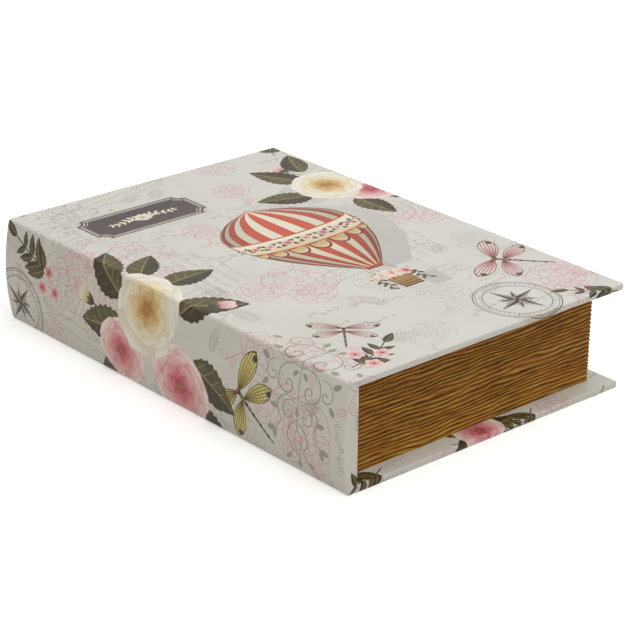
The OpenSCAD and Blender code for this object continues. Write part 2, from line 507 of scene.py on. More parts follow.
def bud(base, reach, seed, inner=ROSE, outer=BLUSH):
    """A closed flower on its stem, in its green cup."""
    rng = random.Random(seed)
    cup = base + reach * 0.4
    stroke(base + reach * np.array([0, 0.2 + 0.03j, 0.42]), abs(reach) * 0.035, LEAF_MID)
    for side, width in ((0.16, 0.42), (-0.16, 0.42), (0.0, 0.46)):
        root, tip = base + reach * (0.4 + side * 0.12j), reach * (0.6 + side * 0.5j)
        petal(rng, root, tip, width, inner, outer, 0.1, 0.03)
    for side in (0.5, -0.5, 0.0):
        tip = reach * 0.3 * heading(side)
        ink_shape(cup + tip * petal_loop(rng, 0.36, 1.0, 0, 6), LEAF_DARK, LEAF_MID, PETAL, cup, tip)


def medallion(centre, radius, turn=0.0):
    """A fine compass rose in four rings, with ticks round it."""
    for share, width in ((1.0, 0.6), (0.94, 0.35), (0.78, 0.4), (0.3, 0.4)):
        closed_stroke(centre + radius * share * ring(72), width, DARK_LINE)
    for i in range(48):
        tick = np.array([0.78, 0.86 if i % 4 else 0.92])
        stroke(centre + radius * heading(turn + 2 * math.pi * i / 48) * tick, 0.4, DARK_LINE)
    for reach, half, offset in ((0.5, 0.11, math.pi / 4), (0.74, 0.13, 0)):
        for i in range(4):
            way = heading(turn + math.pi / 2 * i + offset)
            for hand, colour in ((1, DARK_LINE), (-1, GREY_LINE)):
                side = radius * half * way * heading(hand * math.pi / 4) * 1.2
                ink_shape([centre, centre + side, centre + radius * reach * way], colour)
    dot(centre, radius * 0.06, DARK_LINE, 10)


def plaque(centre, width, height):
    """A plain dark label with hollowed corners, two pale lines inside its edge and a sprig on it."""
    def outline(inset, hollow):
        w, h = width / 2 - inset, height / 2 - inset
        arc = heading(np.linspace(0, math.pi / 2, 7)) * hollow
        corners = [complex(-w, -h), complex(w, -h), complex(w, h), complex(-w, h)]
        return centre + np.concatenate([corner + 1j ** k * arc[::-1] for k, corner in enumerate(corners)])

    ink_shape(outline(0, 6.5), LABEL_LOW, LABEL_TOP, PETAL, centre - 1j * height / 2, 1j * height)
    closed_stroke(outline(1.9, 6.0), 0.75, CREAM)
    closed_stroke(outline(3.3, 6.2), 0.35, CREAM)
    for side in (1, -1):
        turns = (-0.5j, side * 9 + 1.5j, side * 20 - 1.5j, side * 29 + 0.5j)
        stem = smooth([centre + turn for turn in turns], 30)
        stroke(stem, 0.6, CREAM, 0.6)
        for k in range(3, 27, 4):
            for tilt in (0.8, -0.8):
                reach = course(stem, k) * heading(tilt) * (6.0 - 0.1 * k)
                ink_shape(stem[k] + reach * petal_loop(random.Random(k), 0.42, 1.1, 0, 6), CREAM)
    floret(centre, 6.2, DULL_CREAM, CREAM, 4, 6, WARM_CREAM)


def line_peony(centre, size, seed, colour=PINK_LINE, width=0.42):
    """A peony drawn in one pale line: rings of petals round a curled heart, with a stem and leaves."""
    rng = random.Random(seed)
    turn = rng.uniform(0, 6)
    for count, share, broad in ((6, 1.0, 1.0), (5, 0.68, 0.9), (4, 0.4, 0.8)):
        for i in range(count):
            way = heading(turn + share + 2 * math.pi * (i + rng.uniform(-0.15, 0.15)) / count)
            loop = petal_loop(rng, broad, 1.5, 0.07, 12)[3:-2]
            stroke(centre + size * share * way * loop, width, colour, 0.4)
        for i in range(count - 1):
            way = heading(turn + 2 * math.pi * (i + rng.uniform(0, 0.5)) / count)
            fine = smooth([share * 0.5, share * (0.7 + 0.08j), share * rng.uniform(0.8, 0.95)], 5)
            stroke(centre + size * way * fine, width * 0.6, colour, 0.8)
    stroke(volute(centre, centre + 0.2 * size, 1.5, 1, 0.2, 18), width, colour)
    way = heading(rng.uniform(0, 6))
    bend = rng.uniform(-0.8, 0.8)
    stem = centre + size * way * smooth([0.85, 1.3 + 0.1j * bend, 1.7 + 0.3j * bend, 2.0 + 0.5j * bend], 14)
    stroke(stem, width, colour)
    for k, side in ((5, 1), (9, -1)):
        reach = course(stem, k) * heading(0.8 * side) * size * rng.uniform(0.6, 0.8)
        closed_stroke(stem[k] + reach * petal_loop(rng, 0.42, 1.0, 0.03, 7), width, colour)
        stroke(stem[k] + reach * np.linspace(0.05, 0.85, 4), width * 0.6, colour)


def fern(base, reach, seed):
    """A pressed fern in pale grey."""
    rng = random.Random(seed)
    bend = rng.uniform(-0.5, 0.5)
    t = np.linspace(0, 1, 26)
    line = base + reach * (t + 1j * bend * t * t * 0.6)
    stroke(line, PEN, FERN_LINE)
    for k in range(4, 25, 2):
        size = abs(reach) * 0.24 * math.sin(math.pi * (k / 26) ** 0.7) + 0.8
        for side in (1, -1):
            leaflet = course(line, k - 1) * heading(0.95 * side) * size
            ink_shape(line[k] + leaflet * petal_loop(rng, 0.17, 1.0, 0, 5), FERN_LINE)


def tendril(start, reach, seed):
    """A pen-drawn tendril with curls on alternate sides."""
    rng = random.Random(seed)
    bends = [0.3 + 0.10j * rng.uniform(-1, 1), 0.65 + 0.16j * rng.uniform(-1, 1)]
    line = start + reach * smooth([0] + bends + [1], 26)
    stroke(line, PEN, GREY_LINE, 0.5)
    for k in range(4, 25, 5):
        hand = 1 if (k // 5) % 2 else -1
        size = abs(reach) * rng.uniform(0.05, 0.08)
        curl = volute(line[k] + 1j * hand * course(line, k) * size, line[k], 1.1, hand, 0.25, 14)
        stroke(curl, PEN * 0.9, GREY_LINE)


def pen_loops(start, reach, seed):
    """A line of running pen loops of uneven height, a flourish without letters."""
    rng = random.Random(seed)
    pitch = 3.1
    spots, x = [], 0.0
    for _ in range(int(abs(reach) / pitch)):
        height = rng.choice((0.9, 1.0, 1.1, 1.3, 1.9, 2.6))
        step = pitch * rng.uniform(0.8, 1.25)
        for share in np.arange(9) / 9:
            lift = height * (1 - math.cos(2 * math.pi * share))
            spots.append(complex(x + step * share - 0.85 * math.sin(2 * math.pi * share) + 0.35 * lift, lift))
        x += step
    sway = [rng.uniform(-1, 1) for _ in range(5)]
    sway = np.interp(np.arange(len(spots)), np.linspace(0, len(spots), 5), sway)
    way = reach / abs(reach)
    stroke(start + way * np.array(spots) + 1j * way * sway, 0.27, GREY_LINE)


def arabesque(centre, size, turn=0.0, colour=SCROLL_GREY):
    """A mirrored scroll ornament: paired volutes on a stem, with leaves and a tulip on top."""
    rng = random.Random(3)
    up = heading(turn)

    def both(points):
        for mirrored in (points, -np.conj(points)):
            yield centre + size * up * mirrored

    lines = [
        (volute(0.29 - 0.66j, -0.98j, 1.45, 1, 0.09), 0.034),
        (volute(0.25 - 0.10j, -0.42j, 1.4, 1, 0.1), 0.030),
        (volute(0.60 - 0.16j, 0.50 - 0.40j, 1.2, 1, 0.12, 22), 0.024),
        (volute(0.60 - 0.92j, 0.33 - 1.03j, 1.1, 1, 0.15, 22), 0.022),
        (volute(0.19 + 0.36j, 0.03 + 0.16j, 1.2, 1, 0.14, 22), 0.024),
        (smooth([0.02 + 0.10j, 0.30 + 0.10j, 0.46 + 0.30j, 0.38 + 0.55j, 0.52 + 0.74j], 22), 0.026),
        (smooth([0.42j, 0.17 + 0.58j, 0.24 + 0.78j, 0.12 + 0.95j, 0.20 + 1.10j], 20), 0.028),
        (smooth([0.58j, 0.07 + 0.74j, 0.05 + 0.94j, 1.12j], 14), 0.022),
    ]
    for line, width in lines:
        for copy in both(line):
            stroke(copy, size * width, colour, 0.55)
            dot(copy[-1], size * width * 0.8, colour)
    for spot, way in (
        (0.52 + 0.74j, 0.20 + 0.06j), (0.52 + 0.74j, 0.05 + 0.20j), (0.44 + 0.36j, 0.19 - 0.02j),
        (0.73 - 0.33j, 0.17 - 0.10j), (0.55 - 0.60j, 0.20 + 0.02j), (0.20 + 1.10j, 0.12 + 0.10j),
        (0.05 - 0.36j, 0.12 + 0.10j), (0.16 - 1.07j, 0.06 - 0.20j), (0.70 - 0.04j, 0.13 + 0.14j),
        (0.86 - 0.86j, 0.16 + 0.08j),
    ):
        for copy in both(spot + way * petal_loop(rng, 0.5, 1.0, 0, 7)):
            ink_shape(copy, colour)
    for spot, way in ((1.12j, 0.16j), (-1.0j, -0.2j), (0.22j, 0.16j)):
        ink_shape(centre + size * up * (spot + way * petal_loop(rng, 0.55, 1.2, 0, 7)), colour)
    stroke(centre + size * up * np.linspace(-1.0j, 0.6j, 12), size * 0.02, colour)


def dragonfly(centre, span, turn, pale, deep, seed):
    """A dragonfly from above: four veined wings and a jointed body."""
    rng = random.Random(seed)
    ahead = heading(turn)
    for hinge, angle, reach in ((0.04, 1.32, 0.52), (-0.05, 1.95, 0.47)):
        for side in (1, -1):
            base = centre + ahead * span * hinge
            way = ahead * span * reach * heading(side * angle)
            loop = petal_loop(rng, 0.40, 1.35, 0.02, 11)
            ink_shape(base + way * loop, WING_LINE)
            ink_shape(base + way * (0.5 + (loop - 0.5) * 0.92), deep, pale, PETAL, base, way * 0.75, 4)
            for bend in (-0.30, -0.16, -0.03, 0.10, 0.24):
                end = 0.95 - abs(bend) * 0.32 + 0.45j * bend
                vein = smooth([0.03, 0.45 + 0.42j * bend, 0.78 + 0.5j * bend, end], 12)
                stroke(base + way * vein, span * 0.007, WING_LINE)
            for along in (0.3, 0.42, 0.54, 0.66, 0.78):
                height = 0.14 * math.sin(math.pi * along ** 1.35) ** 0.62
                vein = np.array([along - 1j * height, along + 0.03 + 1j * height])
                stroke(base + way * vein, span * 0.0045, WING_LINE)
            ink_shape(base + way * (0.86 + side * 0.06j + 0.07 * ring(8)), WING_LINE)
    spot = 0.02
    for k, width in enumerate((0.046, 0.04, 0.036, 0.034, 0.032, 0.030, 0.028, 0.03, 0.022)):
        step = 0.062 if k else 0.10
        spot -= step / 2
        oval = step * 0.56 * ring(10).real + 1j * width * 0.62 * ring(10).imag
        ink_shape(centre + ahead * span * (spot + oval), WING_LINE if k % 2 else dimmed(deep, 0.75))
        spot -= step / 2
    dot(centre + ahead * span * 0.035, span * 0.035, WING_LINE, 12)
    for side in (1, -1):
        dot(centre + ahead * span * (0.055 + 0.022j * side), span * 0.017, BRICK)


WICKER_DARK, WICKER, WICKER_PALE = (118, 78, 48), (176, 128, 78), (222, 182, 128)
BASKET_RIM, BASKET_FOOT = (150, 60, 44), (92, 58, 36)


def flower_basket(foot, half, deep):
    """A woven basket heaped with flowers, with a sprig that hangs down at each side."""
    rim = foot + 1j * deep
    sides = [rim - half, rim + half, foot + half * 0.78, foot - half * 0.78]
    ink_shape(sides, WICKER_DARK, WICKER, PETAL, foot, 1j * deep, 0.2)
    for row in range(6):
        y = foot + 1j * deep * (0.08 + 0.16 * row)
        wide = half * (0.80 + 0.035 * row)
        for k in range(8):
            x0 = y - wide + 2 * wide * (k + (0.5 if row % 2 else 0)) / 8.5
            stroke([x0, x0 + wide * 0.14 + 0.4j, x0 + wide * 0.26], 0.6, WICKER_PALE, 0.4)
    stroke([rim - half * 1.08, rim + half * 1.08], 2.0, BASKET_RIM)
    stroke([foot - half * 0.82, foot + half * 0.82], 1.5, BASKET_FOOT)
    for k in range(7):
        at = rim + half * (-1.15 + 0.38 * k) + 1j * (1.6 - 0.5 * abs(k - 3))
        for side in (0.4, 1.6, 2.8, -0.9, -2.3):
            leaf(at, 7.0 * heading(side + 0.3 * k), 0.5, k + 50, 4)
    for k in range(7):
        at = rim + half * (-1.15 + 0.38 * k) + 1j * (2.8 - 0.7 * abs(k - 3))
        blossom(at, 6.4 - 0.4 * abs(k - 3), (tones_pink, tones_cream)[k % 2], k + 70)
    for side in (1, -1):
        bends = ((1, 0), (1.5, -5j), (1.3, -11j), (1.6, -17j))
        line = smooth([rim + side * half * out + down for out, down in bends], 16)
        stroke(line, 0.5, LEAF_DARK)
        for k in range(2, 15, 2):
            leaf(line[k], 5.0 * heading(-1.57 + (1 if k % 4 else -1) * 0.9), 0.5, k, 3)


SILK_CREAM, SILK_RED = ((240, 232, 212), (206, 184, 146)), ((212, 92, 62), (150, 56, 42))
SHADOW_LOW, SHADOW_TOP = (198, 195, 190), (210, 207, 202)
BELT_LOW, BELT_TOP, SCALLOP = (224, 206, 170), (243, 234, 210), (232, 214, 178)
BELT_SAG = 0.07       # how far a belt hangs down in the middle, as a share of the silk's height


def balloon(foot, height):
    """A hot-air balloon in striped silk with a basket of flowers, the main picture of the lid."""
    mouth, tall, wide = foot + 0.24j * height, 0.76 * height, 0.62 * height
    t = np.linspace(0, 1, 22)
    levels = (0, 0.06, 0.16, 0.30, 0.46, 0.62, 0.76, 0.88, 0.95, 1)
    profile = np.interp(t, levels, (0.085, 0.15, 0.25, 0.37, 0.46, 0.5, 0.465, 0.33, 0.20, 0.01))
    profile[1:-1] = (profile[:-2] + 2 * profile[1:-1] + profile[2:]) / 4
    profile *= wide
    gores = 16
    sides = np.sin(np.linspace(-math.pi / 2, math.pi / 2, gores + 1))
    rim = mouth + 1j * tall * t
    shadow = 17 - 9j
    ink_shape(shadow + between(rim + profile, rim - profile), SHADOW_LOW, SHADOW_TOP, PETAL, mouth, 1j * tall)
    ink_shape(shadow + foot + np.array([-7, 7, 9 + 19j, -9 + 19j]), SHADOW_LOW)
    for side in (-1, 1):
        stroke(shadow + np.array([foot + 9 * side + 19j, mouth + side * 0.08 * wide]), 0.6, SHADOW_LOW)
    ink_shape(between(rim + profile + 0.5, rim - profile - 0.5), DARK_BRICK)
    for k in range(gores):
        shade = 1 - 0.30 * max(abs(sides[k]), abs(sides[k + 1])) ** 3
        pale, deep = (SILK_CREAM, SILK_RED)[k % 2]
        loop = between(rim + profile * sides[k], rim + profile * sides[k + 1])
        start, reach = mouth - 0.3j * tall, 0.95j * tall
        ink_shape(loop, dimmed(deep, shade), dimmed(pale, shade), PETAL, start, reach, 0.06)
    for k in range(1, gores):
        stroke(rim[1:-1] + profile[1:-1] * sides[k], 0.3, DARK_BRICK)

    def on_belt(level, x, ends=1.0):
        """A place on a belt round the silk, from its left edge at -1 to its right edge at 1."""
        drop = BELT_SAG * np.sqrt(1 - x * x * ends)
        return mouth + np.interp(level, t, profile) * x + 1j * tall * (level - drop)

    def belt(low, high, colour, tip):
        edges = [on_belt(level, np.linspace(-1, 1, 25), 0.995) for level in (low, high)]
        start = mouth + 1j * tall * (low - BELT_SAG)
        ink_shape(between(*edges), colour, tip, PETAL, start, 1j * tall * (high - low), 0.1)

    belt(0.50, 0.66, BELT_LOW, BELT_TOP)
    for low in (0.495, 0.655):
        belt(low, low + 0.012, DARK_BRICK, BRICK)
    for k in range(9):
        x = math.sin(-1.25 + 2.5 * k / 8)
        spot = on_belt(0.58, x)
        size = 4.8 * (0.45 + 0.55 * math.cos(math.asin(x)))
        for side in (0.6, 2.6, -0.6, -2.6):
            leaf(spot, size * 1.7 * heading(side), 0.5, k, 3)
        floret(spot, size, *((ROSE, BLUSH) if k % 2 else (PINK, CREAM)), k)
    for k in range(7):
        x = math.sin(-1.3 + 2.6 * (k + 0.5) / 7)
        top = on_belt(0.49, x)
        size = 0.115 * wide * math.cos(math.asin(x)) + 1.5
        arc = heading(-np.linspace(0, math.pi, 10))
        ink_shape(top + size * arc.real * 0.62 + 1j * size * 0.9 * arc.imag, DARK_BRICK)
        inner = top + size * arc.real * 0.5 + 1j * size * 0.74 * arc.imag
        ink_shape(inner, SCALLOP, STRAW, PETAL, top - 1j * size, 1j * size)
    collar = mouth + np.array([-0.085 * wide, 0.085 * wide, 0.06 * wide - 4j, -0.06 * wide - 4j])
    ink_shape(collar, DARK_BRICK, BRICK, PETAL, mouth - 4j, 4j)
    half, deep = 0.10 * wide, 0.12 * height
    for x in (-1, -0.5, 0, 0.5, 1):
        stroke([mouth - 3.5j + x * 0.06 * wide, foot + 1j * deep + x * half], 0.4, BROWN)
    for x in (-1, 1):
        stroke([mouth + x * 0.09 * wide, foot + 1j * deep + x * half * 1.02], 0.4, BROWN)
    flower_basket(foot, half, deep)


def leaves(width, seed, *places):
    """Leaves of one width, each given the place of its foot, its length and its angle."""
    for k, (base, length, angle) in enumerate(places):
        leaf(base, length * heading(angle), width, seed + k)


# The ground: pale peonies in line, ferns, tendrils and pen loops, kept apart from each other
SHEET_X, SHEET_Y, TRIES = (-318, 234), (-184, 184), 4000
scatter = random.Random(2026)
taken = []
for _ in range(TRIES):
    at = complex(scatter.uniform(*SHEET_X), scatter.uniform(*SHEET_Y))
    size = scatter.uniform(8, 17)
    if all(abs(at - other) > 1.02 * (size + far) for other, far in taken):
        taken.append((at, size))
for k, (at, size) in enumerate(taken):
    if size > 13:
        line_peony(at, size, k, scatter.choice((PINK_LINE, PINK_LINE, PALE_LINE)))
    elif k % 3 == 0:
        fern(at - size, 2.4 * size * heading(scatter.uniform(0, 6.28)), k)
    elif k % 3 == 1:
        tendril(at - size, 3.0 * size * heading(scatter.uniform(-0.4, 0.4)), k)
    else:
        for row in range(3):
            pen_loops(at - size - 7j * row + 2 * row, 2.6 * size * heading(0.12), k + row)

bold_peonies = (
    (70 - 36j, 25), (188 + 20j, 24), (22 + 62j, 21), (196 - 134j, 23), (-34 + 104j, 22),
    (-46 - 134j, 22), (-160 - 112j, 26), (-250 + 10j, 26), (-150 + 104j, 25))
for seed, (at, size) in enumerate(bold_peonies, 201):
    line_peony(at, size, seed, PINK_LINE, 0.5)
loop_blocks = (
    (14 - 20j, 62, 5), (112 + 8j, 74, 5), (150 - 60j, 58, 4), (10 + 96j, 56, 4),
    (-70 - 70j, 58, 3), (-66 + 60j, 60, 3), (-150 - 20j, 70, 5), (-280 - 130j, 70, 5))
for k, (at, length, rows) in enumerate(loop_blocks):
    for row in range(rows):
        reach = length * heading(1.42) * (0.7 if row == rows - 1 else 1)
        pen_loops(at + row * (8.5 + 1.5j), reach, 220 + 10 * k + row)

# Ornaments in grey, then the rings and the label
arabesque(-26 - 126j, 37, math.pi * 0.5)
arabesque(24 + 148j, 26, 0.3, SCROLL_PALE)
arabesque(-180 + 30j, 60)
medallion(150 - 141j, 27, 0.3)
medallion(-60 + 150j, 24, 0.9)
medallion(-240 + 100j, 30)
plaque(62 + 112j, 88, 37)

# The main picture
balloon(120 - 84j, 160)

# Dragonflies
dragonfly(188 - 88j, 62, 2.3, (244, 214, 212), (208, 124, 134), 5)
dragonfly(-44 - 76j, 62, 0.9, (222, 208, 130), (170, 150, 62), 6)
dragonfly(40 - 108j, 44, 0.9, (240, 220, 212), (196, 130, 128), 7)

# The large bunch on the spine
leaves(0.56, 1, (-38 + 34j, 46, 1.9), (-20 + 40j, 44, 1.1), (-62 + 44j, 34, 2.6), (-40 - 30j, 44, -1.9),
       (-14 - 16j, 46, -0.8), (2 + 10j, 38, 0.2), (-66 - 28j, 38, -2.3), (-2 + 30j, 36, 0.9),
       (-76 + 8j, 30, 3.1))
bud(-10 - 26j, 30 * heading(-0.45), 21)
bud(-36 + 56j, 28 * heading(1.3), 22, HONEY, CREAM)
blossom(-56 + 40j, 23, tones_pink, 13)
blossom(-60 - 18j, 27, tones_pink, 11, 0.3)
blossom(-20 + 14j, 30, tones_cream, 12)

# The cream bunch at the fore-edge
leaves(0.54, 31, (190 + 96j, 42, 2.2), (176 + 74j, 40, 3.0), (200 + 112j, 36, 1.3), (196 + 52j, 38, -1.7),
       (214 + 50j, 34, -0.9), (222 + 96j, 30, 0.4))
blossom(214 + 58j, 21, tones_pink, 42)
blossom(196 + 82j, 27, tones_cream, 41)
bud(196 + 108j, 26 * heading(1.9), 43)

# Sprays at the corners, on the turned-in edges and under the base
spray(8 - 150j, 40 * heading(0.35), 51)
for k in range(3):
    floret(26 - 146j + 9 * heading(2.1 * k), 6, PINK, BLUSH, 60 + k)
spray(214 - 168j, 34 * heading(2.6), 52)
spray(208 + 150j, 34 * heading(0.9), 46)
spray(-30 + 112j, 44 * heading(1.2), 53)
for k in range(3):
    floret(-36 + 116j + 8 * heading(2.1 * k), 6, ROSE, BLUSH, 64 + k)
edge_sprays = (
    (-108 - 176j, 0.1), (-160 - 172j, 2.9), (-232 - 176j, 0.3), (-290 - 170j, 1.4),
    (-296 + 20j, 1.9), (-130 + 174j, 0.2), (-250 + 172j, 2.8))
for seed, (at, angle) in enumerate(edge_sprays, 54):
    spray(at, 34 * heading(angle), seed)
base_blossoms = (
    (-186 - 174j, 18, tones_pink), (-300 - 60j, 20, tones_cream), (-190 + 176j, 18, tones_cream),
    (-180 - 60j, 28, tones_cream), (-214 - 34j, 24, tones_pink))
for seed, (at, size, tones) in enumerate(base_blossoms, 81):
    leaves(0.5, seed, *((at, size * 1.7, seed + 1.25 * k) for k in range(5)))
    blossom(at, size, tones, seed)

# The printed sheet on the case
# One sheet of satin printed paper covers the whole case and is turned in over every edge. It bends at
# two creases beside the spine, and it is made as three pieces that meet there, as the lid moves.

BOARD_EDGE = 4.2      # height of the lid's and base's covered edges
EDGE_R = 0.9          # radius of the paper over an edge
CORNER_R = 1.4        # radius of a corner, seen from above
TURN_IN = 15.5        # width of the turned-in paper
CREASE_GAP = 0.01     # from the crease's middle to either paper
quarter = EDGE_R * math.pi / 2
edge_flat = BOARD_EDGE - 2 * EDGE_R
edge_run = 2 * quarter + edge_flat + TURN_IN - EDGE_R     # the sheet past the start of an edge
flat_a = FORE_X - EDGE_R - CREASE_X
flat_b = HALF_L - EDGE_R
bends = np.concatenate([
    quarter * np.linspace(0, 1, 5), quarter + edge_flat + quarter * np.linspace(0, 1, 5)])


def fold(d, depth):
    """How far out and down a point is that lies d past the start of a board's edge."""
    first = np.clip(d / EDGE_R, 0, math.pi / 2)
    second = np.clip((d - quarter - edge_flat) / EDGE_R, 0, math.pi / 2)
    radius = EDGE_R - depth
    out = radius * np.sin(first) - radius * (1 - np.cos(second))
    out = out - np.clip(d - 2 * quarter - edge_flat, 0, None)
    down = radius * (1 - np.cos(first)) + np.clip(d - quarter, 0, edge_flat) + radius * np.sin(second)
    return out, down


def on_panel(a, b, depth, top):
    """The sheet over the lid (top) or the base: a runs from the crease, b from tail to head."""
    past_a, past_b = np.clip(a - flat_a, 0, None), np.clip(np.abs(b) - flat_b, 0, None)
    (out_a, down_a), (out_b, down_b) = fold(past_a, depth), fold(past_b, depth)
    fore = past_a > past_b
    x = np.where(fore, flat_a + out_a, np.minimum(a, flat_a + out_b))
    y = np.where(fore, np.minimum(np.abs(b), flat_b + out_a), np.minimum(np.abs(b), flat_b) + out_b)
    down = depth + np.where(fore, down_a, down_b)
    corner = CORNER_R - depth
    px = x - (flat_a + EDGE_R - CORNER_R)
    py = y - (flat_b + EDGE_R - CORNER_R)
    inside = (px > 0) & (py > 0)
    shrink = np.where(inside, np.maximum(px, py) / np.maximum(np.hypot(px, py), 1e-9), 1.0)
    x = x - px * (1 - shrink)
    y = y - py * (1 - shrink)
    z = CASE_H - down if top else down
    return np.stack([CREASE_X + x, np.sign(b) * y, z + np.zeros_like(x)], axis=-1)


def panel_outline():
    """The flat cut of one panel, counterclockwise, with its corners mitred."""
    d = np.unique(np.concatenate([bends, [edge_run]]))
    out = fold(d, 0.0)[0]
    tail = [(flat_a + o, -flat_b - e) for o, e in zip(out[::-1], d[::-1])]
    fore = [(flat_a + e, -flat_b - o) for o, e in zip(out[1:], d[1:])]
    lower = [(CREASE_GAP, -flat_b - edge_run)] + tail + fore
    return lower + [(a, -b) for a, b in reversed(lower)]


def panel_creases():
    """Lines along which a panel's part bends, and a few that keep its corners round."""
    lines = []
    for d in bends:
        o = float(fold(np.array(d), 0.0)[0])
        lines.append([(flat_a + d, -flat_b - o), (flat_a + d, flat_b + o)])
        for side in (-1, 1):
            lines.append([(CREASE_GAP, side * (flat_b + d)), (flat_a + o, side * (flat_b + d))])
    for share in (0.0, 0.3, 0.6):
        e = EDGE_R - CORNER_R * (1 - share)
        for side in (-1, 1):
            lines.append([(flat_a + e, side * (flat_b - 1.5)), (flat_a + e, side * (flat_b + bends[-1] + 1))])
            lines.append([(flat_a - 1.5, side * (flat_b + e)), (flat_a + bends[-1] + 1, side * (flat_b + e))])
    return lines


END_TOP, END_LOW = CASE_H - BOARD_EDGE, 7.0   # heights at which the end papers' mitres reach the creases
mitre_s = top_run + fillet_run / 2
END_X = CREASE_X - CREASE_GAP


def on_board(s):
    """Whether the paper at s is turned in over the top or the underside, and not over the back."""
    return (s < mitre_s) | (s > spine_run - mitre_s)


def end_mitre(s):
    """How far in the end papers run over the spine's end at s."""
    s = np.asarray(s, float)
    x, z = spine_section(s, 0.0)
    upper = s < spine_run / 2
    corner_x, corner_z = spine_section(np.where(upper, mitre_s, spine_run - mitre_s), 0.0)
    meet = np.where(upper, END_TOP, END_LOW)
    slope = (meet - corner_z) / (END_X - corner_x)
    vertical = np.abs(z - (corner_z + slope * (x - corner_x)))
    diagonal = np.where(np.abs(z - corner_z) < 1e-9, 0.0, (z - corner_z) / slope + corner_x - x)
    across = np.where((z < END_TOP) & (z > END_LOW), END_X - x, np.minimum(diagonal, END_X - x))
    return np.where(on_board(s), vertical, np.clip(across, 0, None))


def spine_reach(s):
    """How far the flat cut reaches from the middle of the sheet at s, with a notch at each mitre."""
    inward = end_mitre(s)
    arc = EDGE_R * np.arccos(np.clip(1 - inward / EDGE_R, 0, 1))
    past = np.where(inward < EDGE_R, arc, quarter + inward - EDGE_R)
    at_mitre = np.minimum(np.abs(s - mitre_s), np.abs(s - spine_run + mitre_s)) < 1e-6
    return np.where(at_mitre, flat_b, flat_b + past)


def on_spine(s, v, depth):
    """The sheet over the spine and its ends: s runs down from the top crease."""
    e = np.clip(np.abs(v) - flat_b, 0, None)
    turn = np.clip(e / EDGE_R, 0, math.pi / 2)
    radius = EDGE_R - depth
    inward = radius * (1 - np.cos(turn)) + np.clip(e - quarter, 0, None)
    x, z = spine_section(s, depth)
    wrap = on_board(s)
    x = x + np.where(wrap, 0.0, inward)
    z = z - np.where(wrap, inward, 0.0) * np.where(s < spine_run / 2, 1.0, -1.0)
    wx, wz = x - fillet_x, np.abs(z - half_h) - (half_h - SPINE_FILLET)
    near_fillet = (wx < 0) & (wx * math.sin(side_angle) + wz * math.cos(side_angle) > 0)
    flat_gap = half_h - np.abs(z - half_h)
    side_gap = SPINE_R - np.hypot(x - SPINE_CX, z - half_h)
    gap = np.where(near_fillet, SPINE_FILLET - np.hypot(wx, wz), np.minimum(flat_gap, side_gap)) - depth
    gap = np.clip(gap, 0, radius)
    y = np.where(e > 0, flat_b + np.sqrt(np.clip(radius ** 2 - (radius - gap) ** 2, 0, None)), np.abs(v))
    return np.stack([x, np.sign(v) * y, z], axis=-1)


def spine_outline():
    """The flat cut of the spine's part."""
    first = np.unique(np.concatenate([
        np.linspace(CREASE_GAP, top_run, 5), top_run + fillet_run * np.linspace(0, 1, 7),
        top_run + fillet_run + side_run / 2 * np.linspace(0, 1, 15) ** 1.5]))
    s = np.unique(np.concatenate([first, [mitre_s], spine_run - first, [spine_run - mitre_s]]))
    reach = spine_reach(s)
    return list(zip(s, -reach)) + list(zip(s[::-1], reach[::-1]))


def spine_creases():
    """Lines along which the spine's part bends."""
    lines = []
    stops = np.concatenate([
        [top_run], top_run + fillet_run * np.linspace(0, 1, 7),
        top_run + fillet_run + side_run * np.linspace(0, 1, 17),
        spine_run - top_run - fillet_run * np.linspace(0, 1, 7)])
    for s in np.unique(stops):
        reach = float(spine_reach(s))
        lines.append([(s, -reach), (s, reach)])
    for e in quarter * np.linspace(0, 1, 5):
        for side in (-1, 1):
            lines.append([(CREASE_GAP, side * (flat_b + e)), (spine_run - CREASE_GAP, side * (flat_b + e))])
    return lines


def area_of(flat, corners):
    p = flat[corners]
    u, v = p[:, 1] - p[:, 0], p[:, 2] - p[:, 0]
    return 0.5 * (u[:, 0] * v[:, 1] - u[:, 1] * v[:, 0])


def cut(loops, lines, merge):
    """Triangles inside the first loop, and for each the number of the last loop that covers it."""
    points, edges, faces = [], [], []
    for loop in loops:
        faces.append(list(range(len(points), len(points) + len(loop))))
        points += loop
    for line in lines:
        edges += [(len(points) + k, len(points) + k + 1) for k in range(len(line) - 1)]
        points += line
    found = delaunay_2d_cdt(points, edges, faces, 1, merge)
    flat = np.array([p[:] for p in found[0]], float)
    corners = np.array(found[2])
    clockwise = area_of(flat, corners) < 0
    corners[clockwise] = corners[clockwise][:, ::-1]
    counts = np.array([len(covers) for covers in found[5]])
    triangle = np.repeat(np.arange(len(counts)), counts)
    cover = np.fromiter(itertools.chain.from_iterable(found[5]), int, counts.sum())
    # The cut can spill a shape past its own loop, so a triangle must lie in the loop's box
    low = np.array([np.min(loop, axis=0) for loop in loops]) - 1e-4
    high = np.array([np.max(loop, axis=0) for loop in loops]) + 1e-4
    middle = flat[corners].mean(1)[triangle]
    fits = ((middle > low[cover]) & (middle < high[cover])).all(1)
    layer = np.zeros(len(counts), int)
    np.maximum.at(layer, triangle[fits], cover[fits])
    inside = np.isin(np.arange(len(counts)), triangle[cover == 0])
    corners, layer = corners[inside], layer[inside]
    kept, corners = np.unique(corners, return_inverse=True)
    return flat[kept], corners.reshape(-1, 3), layer


SEAM_EASE = 0.008     # how far in mm a seam may move when a point is dropped


